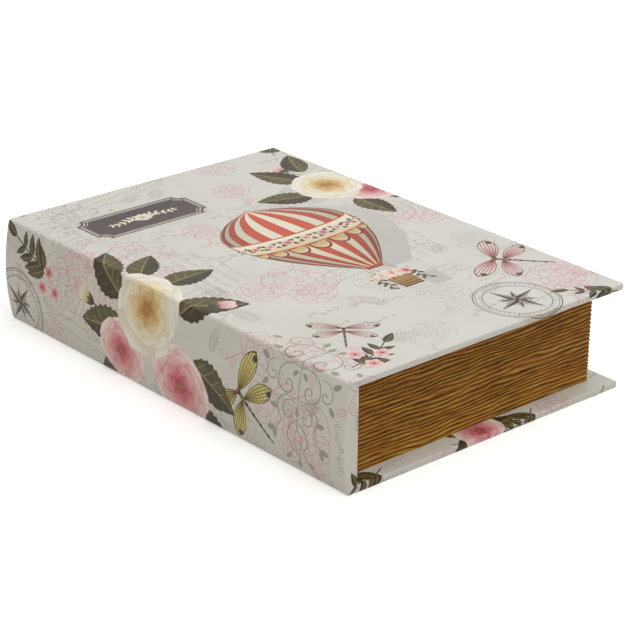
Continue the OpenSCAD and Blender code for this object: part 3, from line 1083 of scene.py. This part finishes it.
def seams(flat, corners, ink):
    """The edges where the ink changes, with points dropped where such a seam runs straight."""
    sides = np.sort(np.concatenate([corners[:, [0, 1]], corners[:, [1, 2]], corners[:, [2, 0]]]), axis=1)
    owner = np.tile(ink, 3)
    order = np.lexsort((sides[:, 1], sides[:, 0]))
    sides, owner = sides[order], owner[order]
    twin = (sides[1:] == sides[:-1]).all(1)
    keep = np.ones(len(sides), bool)
    keep[1:][twin] = False
    keep[:-1][twin] = owner[1:][twin] != owner[:-1][twin]
    near = {}
    for a, b in sides[keep].tolist():
        near.setdefault(a, set()).add(b)
        near.setdefault(b, set()).add(a)
    spot = (flat[:, 0] + 1j * flat[:, 1]).tolist()
    for point in list(near):
        if len(near[point]) == 2:
            a, b = near[point]
            along, over = spot[b] - spot[a], spot[point] - spot[a]
            if b not in near[a] and abs((over * along.conjugate()).imag) < SEAM_EASE * abs(along):
                near[a].remove(point)
                near[b].remove(point)
                near[a].add(b)
                near[b].add(a)
                del near[point]
    return near


def rim_of(corners):
    """The outline of a set of triangles, as a loop of point numbers."""
    sides = np.concatenate([corners[:, [0, 1]], corners[:, [1, 2]], corners[:, [2, 0]]])
    size = corners.max() + 1
    alone = ~np.isin(sides[:, 0] * size + sides[:, 1], sides[:, 1] * size + sides[:, 0])
    follows = dict(sides[alone].tolist())
    loop = [min(follows)]
    for _ in range(len(follows) - 1):
        loop.append(follows[loop[-1]])
    return loop


def add_piece(name, points, faces):
    """A piece made straight from its points and faces, where no modelling operator gives its shape."""
    mesh = bpy.data.meshes.new(name)
    mesh.from_pydata(points.tolist(), [], faces)
    piece = bpy.data.objects.new(name, mesh)
    bpy.context.scene.collection.objects.link(piece)
    return piece


def add_values(mesh, name, kind, domain, values):
    """Numbers, colours or vectors on a mesh's points or corners, for its material to read."""
    field = {"FLOAT": "value", "FLOAT_VECTOR": "vector", "FLOAT_COLOR": "color"}[kind]
    mesh.attributes.new(name, kind, domain).data.foreach_set(field, np.asarray(values, np.float32).ravel())


# The OFBake UV map of a part of the sheet: where its face, underside and rim lie, and how wide each is
FACE_STRIP, UNDER_STRIP, RIM_STRIP = (0.0, 0.9), (0.95, 0.05), (0.915, 0.02)


def printed_paper(name, outline, creases, onto):
    """One part of the sheet with its artwork, folded into place and given its thickness.

    The outline and creases are in the sheet's own points; onto(points, depth) gives their folded place."""
    outline, creases = [list(p) for p in outline], [[list(p) for p in line] for line in creases]
    box_low, box_high = np.min(outline, axis=0), np.max(outline, axis=0)
    used = [s for s, box in zip(shapes, shape_boxes)
            if box[0] < box_high[0] and box[1] < box_high[1] and box[2] > box_low[0] and box[3] > box_low[1]]
    art = [np.stack([s.loop.real, s.loop.imag], axis=1).tolist() for s in used]
    flat, corners, layer = cut([outline] + art, creases, 1e-4)
    # A second cut keeps only the edges where the print changes, without those of hidden shapes
    ink = np.array([-1] + [hash(s.first) if s.pattern == PLAIN else k for k, s in enumerate(used)])[layer]
    near = seams(flat, corners, ink)
    spots = flat.tolist()
    tree = BVHTree.FromPolygons([(x, y, 0) for x, y in spots], corners.tolist())
    rim = [spots[k] for k in rim_of(corners) if k in near]
    joints = [[spots[a], spots[b]] for a in near for b in near[a] if a < b]
    flat, corners, _ = cut([rim], joints + creases, 2e-3)
    hits = [tree.find_nearest((x, y, 0))[2] for x, y in flat[corners].mean(1).tolist()]
    layer = layer[hits]

    # The underside is cut to the same outline, and walls join the two
    rim = rim_of(corners)
    under_flat, under, _ = cut([flat[rim].tolist()], creases, 2e-3)
    keys = {tuple(np.round(p, 6)): k for k, p in enumerate(under_flat)}
    twin = np.array([keys[tuple(np.round(flat[k], 6))] for k in rim]) + len(flat)
    rim = np.array(rim)
    next_rim, next_twin = np.roll(rim, -1), np.roll(twin, -1)
    walls = np.concatenate([
        np.stack([next_rim, rim, twin], axis=1), np.stack([next_rim, twin, next_twin], axis=1)])
    step = np.arange(len(rim)) / len(rim)
    over = step + 1 / len(rim)
    top, foot = 0 * step, 1 + 0 * step
    halves = np.array([[[top, over], [top, step], [foot, step]], [[top, over], [foot, step], [foot, over]]])
    walls_uv = halves.transpose(0, 3, 1, 2).reshape(-1, 3, 2)
    every = np.concatenate([corners, under[:, ::-1] + len(flat), walls])
    points = np.concatenate([onto(flat, 0.0), onto(under_flat, PAPER)]) * MM
    solid = points[every]
    if np.einsum("ij,ij->", solid[:, 0], np.cross(solid[:, 1], solid[:, 2])) < 0:
        every, solid, walls_uv = every[:, ::-1], solid[:, ::-1], walls_uv[:, ::-1]
    piece = add_piece(name, points, every.tolist())
    mesh = piece.data

    # Each corner's own normal, measured on the folded sheet just inside its triangle
    own_flat = np.concatenate([flat, under_flat])[every]
    n_sheet = len(corners) + len(under)
    normal = np.cross(solid[:, 1] - solid[:, 0], solid[:, 2] - solid[:, 0])
    normal /= np.maximum(np.linalg.norm(normal, axis=1, keepdims=True), 1e-15)
    loop_normals = np.repeat(normal[:, None, :], 3, axis=1)
    at = own_flat + (own_flat.mean(1, keepdims=True) - own_flat) * 0.02
    tiny = 0.003
    for span, depth in ((slice(0, len(corners)), 0.0), (slice(len(corners), n_sheet), PAPER)):
        spot = at[span].reshape(-1, 2)
        across = onto(spot + [tiny, 0], depth) - onto(spot - [tiny, 0], depth)
        along = onto(spot + [0, tiny], depth) - onto(spot - [0, tiny], depth)
        bent = np.cross(across, along)
        bent = (bent / np.maximum(np.linalg.norm(bent, axis=1, keepdims=True), 1e-12)).reshape(-1, 3, 3)
        agree = np.einsum("ijk,ik->ij", bent, normal[span])[..., None]
        loop_normals[span] = np.where(np.abs(agree) > 0.7, bent * np.sign(agree), loop_normals[span])
    mesh.polygons.foreach_set("use_smooth", np.ones(len(every), bool))
    mesh.normals_split_custom_set(loop_normals.reshape(-1, 3).tolist())

    # Inks: two colours a shape, and each corner's place in the shape's own measure
    used = [InkShape(None, PAPER_WHITE, PAPER_WHITE, PLAIN, 0j, 1 + 0j, 1.0)] + used
    layer = np.concatenate([layer, np.zeros(len(every) - len(corners), int)])
    base, reach, across, pattern = (
        np.array([getattr(s, key) for s in used])[layer][:, None]
        for key in ("base", "reach", "across", "pattern"))
    own = (own_flat[..., 0] + 1j * own_flat[..., 1] - base) / reach
    for key, colour in (("ink_a", "first"), ("ink_b", "second")):
        inks = np.array([lin(*getattr(s, colour)) for s in used])[layer]
        add_values(mesh, key, "FLOAT_COLOR", "CORNER", np.repeat(inks[:, None, :], 3, axis=1))
    ink_map = np.stack([own.imag * across, own.real, pattern + 0 * own.real], axis=-1)
    add_values(mesh, "ink_map", "FLOAT_VECTOR", "CORNER", ink_map)

    # The OFBake UV map: the face keeps the flat sheet's layout, the underside and rim take strips beside it
    uv = (own_flat - box_low) / (box_high - box_low)
    uv[n_sheet:] = walls_uv
    spans = (slice(0, len(corners)), slice(len(corners), n_sheet), slice(n_sheet, None))
    for span, (place, width) in zip(spans, (FACE_STRIP, UNDER_STRIP, RIM_STRIP)):
        uv[span] = uv[span] * [width, 1.0] + [place, 0.0]
    mesh.uv_layers.new(name="OFBake").data.foreach_set("uv", uv.astype(np.float32).ravel())
    return piece


def print_finish():
    """Satin off-white paper. Petals get streaks, leaves are mottled and every ink has a little grain."""
    finish = Finish("printed_paper", 0.42, 0.2)
    first, second = finish.attribute("ink_a"), finish.attribute("ink_b")
    across, along, pattern = finish.split(finish.attribute("ink_map", "Vector"))
    point = finish.place()
    x, y, _ = finish.split(point)
    clouds = finish.noise(point, 0.018, 3.0, 0.6)
    fibres = finish.noise(finish.place((1.0, 0.35, 1.0)), 2.2, 3.0, 0.7)
    is_petal = pattern.step(0.45, 0.55) * pattern.step(1.55, 1.45)
    is_leaf = pattern.step(1.45, 1.55)
    # Petals: a soft run of colour with streaks that follow the petal, never the same on two of them
    own = finish.combine(across * 3.5, along * 0.5, x * 0.02 + y * 0.013)
    streaks = finish.noise(own, 2.2, 3.0, 0.65)
    petal_share = along.step(0.0, 1.0) + (streaks - 0.5) * 0.55 * is_petal
    # Leaves: mottled, paler along the midrib
    mottle = finish.noise(point, 0.16, 3.0, 0.65)
    leaf_share = (mottle - 0.5) * 2.4 + 0.45 + (1 - across.math("ABSOLUTE")) * 0.3 + (streaks - 0.5) * 0.5
    ink = finish.mix(is_leaf * leaf_share + (1 - is_leaf) * petal_share, first, second)
    toned = finish.mix((clouds - 0.42) * 0.5, ink, lin(205, 196, 180), "MULTIPLY")
    finish.colour(finish.mix((fibres - 0.5) * 0.16, toned, lin(120, 115, 105)))
    finish.put(finish.shader, {"Roughness": 0.36 + fibres * 0.14})
    finish.bump(fibres, 0.10, 0.06 * MM)
    return finish.material


printed = print_finish()
shape_boxes = [(s.loop.real.min(), s.loop.imag.min(), s.loop.real.max(), s.loop.imag.max()) for s in shapes]


def flipped(points):
    """The points of a part that runs from the crease over the spine, as the sheet's own points."""
    return [(-a, b) for a, b in points][::-1]


for name, outline, creases, onto, body, node in (
    ("lid_cover_sheet", panel_outline(), panel_creases(),
     lambda p, depth: on_panel(p[:, 0], p[:, 1], depth, True), "lid", "lid_cover_paper"),
    ("spine_cover_sheet", flipped(spine_outline()), [flipped(line) for line in spine_creases()],
     lambda p, depth: on_spine(-p[:, 0], p[:, 1], depth), "case", "spine_cover_paper"),
    ("base_cover_sheet", [(a - spine_run, b) for a, b in flipped(panel_outline())],
     [[(a - spine_run, b) for a, b in flipped(line)] for line in panel_creases()],
     lambda p, depth: on_panel(-spine_run - p[:, 0], p[:, 1], depth, False), "case", "base_cover_paper"),
):
    piece = printed_paper(name, outline, creases, onto)
    piece.data.materials.append(printed)
    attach(piece, body)
    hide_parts(node)

# Flaps at the slit
# Past the ends of the paper hinge the sheet is folded once more, in over the spine's inner side and
# over the lid board's edge in the slit. Each fold is a strip of the same paper, glued flat.

SLIT_EDGE, FLAP_START = -103.5, 149.5         # the lid board's edge, and where the paper hinge ends
LID_LOW, FLAP_EASE = 66.1, 0.07
flap_top = CASE_H - PAPER
spine_flap_section = [
    (INNER_X, flap_top), (INNER_X, BOARD_EDGE - PAPER), (CREASE_X + CREASE_GAP, BOARD_EDGE - PAPER),
    (CREASE_X + CREASE_GAP, BOARD_EDGE), (INNER_X + PAPER, BOARD_EDGE), (INNER_X + PAPER, flap_top)]
lid_flap_section = [
    (SLIT_EDGE - PAPER, flap_top), (SLIT_EDGE - PAPER, LID_LOW), (SLIT_EDGE, LID_LOW), (SLIT_EDGE, flap_top)]
for name, section, body, node in (
    ("spine_flap", spine_flap_section, "case", "spine_cover_paper"),
    ("lid_flap", lid_flap_section, "lid", "lid_cover_paper"),
):
    for end, side in (("tail", -1), ("head", 1)):
        half_width = (HALF_L - PAPER - FLAP_START) / 2
        flap = extruded(f"{name}_{end}", section, half_width, side * (FLAP_START + half_width))
        bevelled(flap, FLAP_EASE, 30, 40)
        for key in ("ink_a", "ink_b"):
            add_values(flap.data, key, "FLOAT_COLOR", "CORNER", [lin(*PAPER_WHITE)] * len(flap.data.loops))
        flap.data.attributes.new("ink_map", "FLOAT_VECTOR", "CORNER")
        flap.data.materials.append(printed)
        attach(flap, body)
        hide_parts(node)

# Tray and linings
# The tray is a set-up box: a floor and four walls of the same board, glued edge to edge and into the
# case. Ivory paper lines it, and a sheet of the same paper lines the lid.


def give_finish(material, *nodes):
    """Puts a material on CAD nodes, which keep their own meshes."""
    for node in nodes:
        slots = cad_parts[node].data.materials
        slots.clear()
        slots.append(material)


give_finish(greyboard, "tray_floor", "tail_wall", "head_wall", "fore_edge_wall", "spine_side_wall")


def lining_finish():
    """Plain ivory paper with faint laid lines and a soft tooth."""
    finish = Finish("ivory_lining", 0.75, 0.3)
    point = finish.place()
    x, y, z = finish.split(point)
    laid = (y * 2.4 + finish.noise(point, 0.1) * 1.5).math("SINE")
    fibres = finish.noise(point, 1.8, 3.0, 0.7)
    clouds = finish.noise(point, 0.03, 2.0, 0.5)
    share = laid * 0.06 + fibres * 0.35 + clouds * 0.45
    finish.colour(finish.mix(share, lin(222, 212, 188), lin(243, 237, 222)))
    finish.bump(fibres + laid * 0.2, 0.2, 0.08 * MM)
    return finish.material


ivory = lining_finish()
give_finish(ivory, "wall_lining", "floor_lining", "lid_lining")

# Page edges
# A strip of embossed golden-brown paper is wrapped round tail, fore-edge and head of the tray and
# folded over its rim. Its long wavy ridges look like the edges of old pages, and they are set point
# by point, because no modelling operator gives them.

WALL_X0, WALL_X1, WALL_Y = -104.2, 101.3, 151.3     # the tray's outer faces
STRIP_LOW, STRIP_TOP, RIM_LOW = BOARD_EDGE, 65.2, 64.8
STRIP_T, RIDGE_H, RIDGE_PITCH = 0.4, 0.8, 2.65
RIM_ROUND = 0.8                                     # height over which the ridges fade out at the rim
LIP, LIP_EASE = -3.3, 0.12                          # the strip's end on the rim, and how it is eased
WRAP_R = 0.8
SIDE_STEPS, CORNER_STEPS, FORE_STEPS, ROWS = 78, 6, 116, 222


def ridge_height(run, z):
    """0 in a groove and 1 on a crest, at a place along the wrap and a height."""
    slow = noise.noise(Vector((run / 75, z / 15, 1.3)))
    mid = noise.noise(Vector((run / 26, z / 6.5, 5.7)))
    fine = noise.noise(Vector((run / 9, z / 2.6, 9.1)))
    phase = z / RIDGE_PITCH + 0.85 * slow + 0.55 * mid + 0.20 * fine
    crest = 0.5 + 0.5 * math.cos(2 * math.pi * phase)
    level = 0.62 + 0.38 * noise.noise(Vector((run / 34, z / 4.2, 2.2)))
    thread = 0.5 + 0.5 * math.cos(2 * math.pi * (phase * 2.7 + 2 * slow))
    return max(0.0, min(1.0, (0.84 * crest ** 0.75 + 0.16 * thread) * (0.55 + 0.6 * level) + 0.10 * fine))


# Each column is a place on the wall, the way out from it and, at the two corners, the wall's own corner
columns = [(WALL_X0 + (WALL_X1 - WRAP_R - WALL_X0) * k / SIDE_STEPS, -WALL_Y, 0, -1, None)
           for k in range(SIDE_STEPS + 1)]
for k in range(1, CORNER_STEPS):
    angle = -math.pi / 2 + math.pi / 2 * k / CORNER_STEPS
    columns.append((WALL_X1 - WRAP_R, -WALL_Y + WRAP_R, math.cos(angle), math.sin(angle), (WALL_X1, -WALL_Y)))
tail_side = list(columns)
columns += [(WALL_X1, (WALL_Y - WRAP_R) * (2 * k / FORE_STEPS - 1), 1, 0, None)
            for k in range(FORE_STEPS + 1)]
columns += [(x, -y, nx, -ny, corner and (corner[0], -corner[1]))
            for x, y, nx, ny, corner in reversed(tail_side)]

rows = np.linspace(STRIP_LOW, STRIP_TOP, ROWS)
back = [
    (-0.6, STRIP_TOP), (-1.8, STRIP_TOP), (LIP + LIP_EASE, STRIP_TOP), (LIP, STRIP_TOP - LIP_EASE),
    (LIP, RIM_LOW), (-1.8, RIM_LOW), (0.0, RIM_LOW), (0.0, 45.0), (0.0, 25.0), (0.0, STRIP_LOW)]
ring_size = len(rows) + len(back)
points, heights, runs = [], [], []
run, last = 0.0, None
for x, y, nx, ny, corner in columns:
    spot = Vector((x, y)) if corner is None else Vector((x + WRAP_R * nx, y + WRAP_R * ny))
    run += (spot - last).length if last is not None else 0.0
    last = spot
    for z in rows:
        over_rim = max(0.0, (z - (STRIP_TOP - RIM_ROUND)) / RIM_ROUND)
        height = ridge_height(run, z) * (1 - over_rim ** 2)
        out = STRIP_T + RIDGE_H * height - 0.35 * over_rim ** 3
        if corner is not None:
            out += WRAP_R
        points.append((x + nx * out, y + ny * out, z))
        heights.append(height)
    for out, z in back:
        if corner is None:
            inset = Vector((x + nx * out, y + ny * out))
            inset.y = max(-WALL_Y - out, min(WALL_Y + out, inset.y))
            inset.x = min(WALL_X1 + out, inset.x)
        else:
            inset = Vector((corner[0] + out, corner[1] + out * (1 if corner[1] > 0 else -1)))
        points.append((inset.x, inset.y, z))
        heights.append(0.7)
    runs += [run] * ring_size
faces = []
for k in range(len(columns) - 1):
    for j in range(ring_size):
        a, b = k * ring_size + j, k * ring_size + (j + 1) % ring_size
        faces.append((a, a + ring_size, b + ring_size, b))
final = (len(columns) - 1) * ring_size
faces.append(tuple(range(ring_size)))
faces.append(tuple(final + j for j in range(ring_size - 1, -1, -1)))
wrap = add_piece("page_edge_wrap", np.array(points) * MM, faces)
mesh = wrap.data
add_values(mesh, "ridge", "FLOAT", "POINT", heights)
add_values(mesh, "along_wrap", "FLOAT", "POINT", runs)
uv = mesh.uv_layers.new(name="OFBake")
for polygon in mesh.polygons:
    closes = polygon.index < len(faces) - 2 and polygon.index % ring_size == ring_size - 1
    for loop in polygon.loop_indices:
        k, j = divmod(mesh.loops[loop].vertex_index, ring_size)
        if closes and j == 0:
            j = ring_size
        uv.data[loop].uv = (0.02 + 0.96 * k / len(columns), 0.02 + 0.96 * j / ring_size)
clear_selection()
wrap.select_set(True)
bpy.context.view_layer.objects.active = wrap
bpy.ops.object.mode_set(mode="EDIT")
bpy.ops.mesh.select_all(action="SELECT")
bpy.ops.mesh.remove_doubles(threshold=1e-6)
bpy.ops.mesh.normals_make_consistent(inside=False)
bpy.ops.object.mode_set(mode="OBJECT")
bpy.ops.object.shade_smooth_by_angle(angle=math.radians(50))


def page_finish():
    """Golden-brown embossed paper: painted shade in the grooves, painted highlight on the crests, patches of
    wear and long streaks of tone.
    """
    finish = Finish("page_edges", 0.6, 0.15)
    height = finish.attribute("ridge", "Fac")
    run = finish.attribute("along_wrap", "Fac")
    _, _, z = finish.split(finish.place())

    def grain(along, up, seed, detail, rough):
        return finish.noise(finish.combine(run * along, z * up, seed), 1.0, detail, rough)

    streaks = grain(0.045, 0.9, 0.0, 4.0, 0.65)
    patches = grain(0.02, 0.11, 4.0, 2.0, 0.5)
    contours = grain(0.016, 0.42, 9.0, 3.0, 0.55)
    worn = grain(0.06, 0.85, 6.0, 2.0, 0.6)
    cracks = 1 - (contours - 0.5).math("ABSOLUTE").step(0.0, 0.022)
    # Painted shade and highlight: the ridge height makes the grooves darker and the crests paler, over the
    # paper's own streaks, wear and cracks
    tone = height * 0.76 + 0.035 + (streaks - 0.5) * 0.95 + (worn - 0.5) * 0.6 - cracks * 0.25
    # Painted shade: the paper is darkened in a band just under the lid; near the ledge it is a little paler
    painted_lid_shade = z.step(62.8, 64.8) * (1 - z.step(64.9, 65.15))
    tone = tone + (1 - z.step(8.0, 20.0)) * 0.13 - painted_lid_shade * 0.4
    stops = (
        (0.02, lin(59, 32, 6)), (0.28, lin(121, 75, 20)),
        (0.55, lin(166, 114, 38)), (0.88, lin(210, 162, 76)))
    ground = finish.add("ShaderNodeValToRGB", {"stops": stops}, {0: tone})
    finish.colour(finish.mix(patches.step(0.42, 0.68) * 0.2, ground, lin(168, 102, 30)))
    finish.bump(streaks, 0.25, 0.25 * MM)
    return finish.material


mesh.materials.append(page_finish())
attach(wrap, "case")
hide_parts("page_edge_strip")

# Paper hinge
# A strip of the lining paper is glued down the inside of the slit, from the tray's rim up the spine,
# over the crease and under the lid board.

HINGE_Y, HINGE_T = FLAP_START, 0.3
ARCH_R, ARCH_Z = 0.35, 69.2           # the fold over the crease
up_spine = [
    (-100.9, 64.95), (-102.6, 64.95), (-104.15, 64.95), (-104.30, 65.0), (-104.35, 65.15),
    (-104.35, 66.5), (-104.35, 68.0)]
arch = [(CREASE_X + ARCH_R * math.cos(a), ARCH_Z + ARCH_R * math.sin(a)) for a in np.linspace(math.pi, 0, 9)]
under_board = [
    (-103.65, 68.0), (-103.65, 66.5), (-103.64, 66.1), (-103.58, 66.0), (-103.45, 65.95),
    (-100.0, 65.95), (-95.0, 65.95), (-89.5, 65.95)]
line = np.array([complex(*p) for p in up_spine + arch + under_board])
side = 1j * np.gradient(line) / np.abs(np.gradient(line)) * HINGE_T / 2
section = between(line + side, line - side)
hinge = extruded("paper_hinge", list(zip(section.real, section.imag)), HINGE_Y)
bpy.ops.object.shade_smooth_by_angle(angle=math.radians(35))
hinge.data.materials.append(ivory)
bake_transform(hinge)
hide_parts("hinge_strip_tray_half", "hinge_strip_lid_half")

# Studio
# The box lies on a white sweep under a large overhead soft light, and the camera looks down on it
# from beyond the corner of tail and spine, as in the picture.

FLOOR_GLOW = 0.46                     # what the floor adds of its own where it is seen, to be white
ROOM_LIGHT, ROOM_TINT = 0.39, (1.0, 0.96, 0.82, 1)
WHITE = (1, 1, 1, 1)


def seen_white(nodes):
    """1 for the rays of the camera and those that gloss or glass sends on, 0 for the light on the box."""
    rays = [nodes.add("ShaderNodeLightPath", {}, {}, f"Is {kind} Ray")
            for kind in ("Camera", "Glossy", "Transmission")]
    return rays[0] + rays[1] + rays[2]


clear_selection()
bpy.ops.mesh.primitive_plane_add(size=8, location=(0, 0, 0))
floor = bpy.context.object
floor.name = "white_floor"
sweep = Finish("white_sweep", 0.9, 0.1)
sweep.colour(sweep.mix(sweep.noise(sweep.place(), 0.01), lin(235, 234, 232), lin(238, 237, 235)))
matt = Wire(sweep, sweep.shader.outputs[0])
glow = sweep.add("ShaderNodeEmission", {}, {"Color": WHITE, "Strength": FLOOR_GLOW})
lit = sweep.add("ShaderNodeAddShader", {}, {0: matt, 1: glow})
shown = sweep.add("ShaderNodeMixShader", {}, {0: seen_white(sweep), 1: matt, 2: lit})
sweep.put(sweep.tree.nodes["Material Output"], {"Surface": shown})
floor.data.materials.append(sweep.material)

world = bpy.data.worlds.new("white_room")
bpy.context.scene.world = world
world.use_nodes = True
room = NodeTree(world.node_tree)
daylight = room.tree.nodes["Background"]
room.put(daylight, {"Color": ROOM_TINT, "Strength": ROOM_LIGHT})
white = room.add("ShaderNodeBackground", {}, {"Color": WHITE, "Strength": 1.0})
lighting = Wire(room, daylight.outputs[0])
shown = room.add("ShaderNodeMixShader", {}, {0: seen_white(room), 1: lighting, 2: white})
room.put(room.tree.nodes["World Output"], {"Surface": shown})

LAMP_PLACE, LAMP_SIZE, LAMP_POWER, LAMP_COLOUR = Vector((0.1, -0.29, 1.5)), 1.6, 16.4, (0.93, 0.95, 1.0)
softbox = bpy.data.lights.new("overhead_softbox", "AREA")
softbox.shape, softbox.size, softbox.size_y = "RECTANGLE", LAMP_SIZE, LAMP_SIZE
softbox.energy, softbox.color = LAMP_POWER, LAMP_COLOUR
lamp = bpy.data.objects.new("overhead_softbox", softbox)
lamp.location = LAMP_PLACE
lamp.rotation_euler = (-LAMP_PLACE).to_track_quat("-Z", "Y").to_euler()
bpy.context.scene.collection.objects.link(lamp)

EYE = Vector((-853.4, -969.7, 579.3)) * MM
AHEAD = Vector((0.61234, 0.68442, -0.39573)).normalized()
UP = Vector((0.25324, 0.30437, 0.91827)).normalized()
LENS = 124.2
across_view = AHEAD.cross(UP).normalized()
upright = across_view.cross(AHEAD)
camera = bpy.data.objects.new("camera", bpy.data.cameras.new("camera"))
camera.data.lens, camera.data.sensor_width = LENS, 36.0
camera.data.clip_start, camera.data.clip_end = 0.05, 50
turned = Matrix((across_view, upright, -AHEAD)).transposed()
camera.matrix_world = Matrix.Translation(EYE) @ turned.to_4x4()
bpy.context.scene.collection.objects.link(camera)
bpy.context.scene.camera = camera
bpy.context.scene.view_settings.view_transform = "Standard"
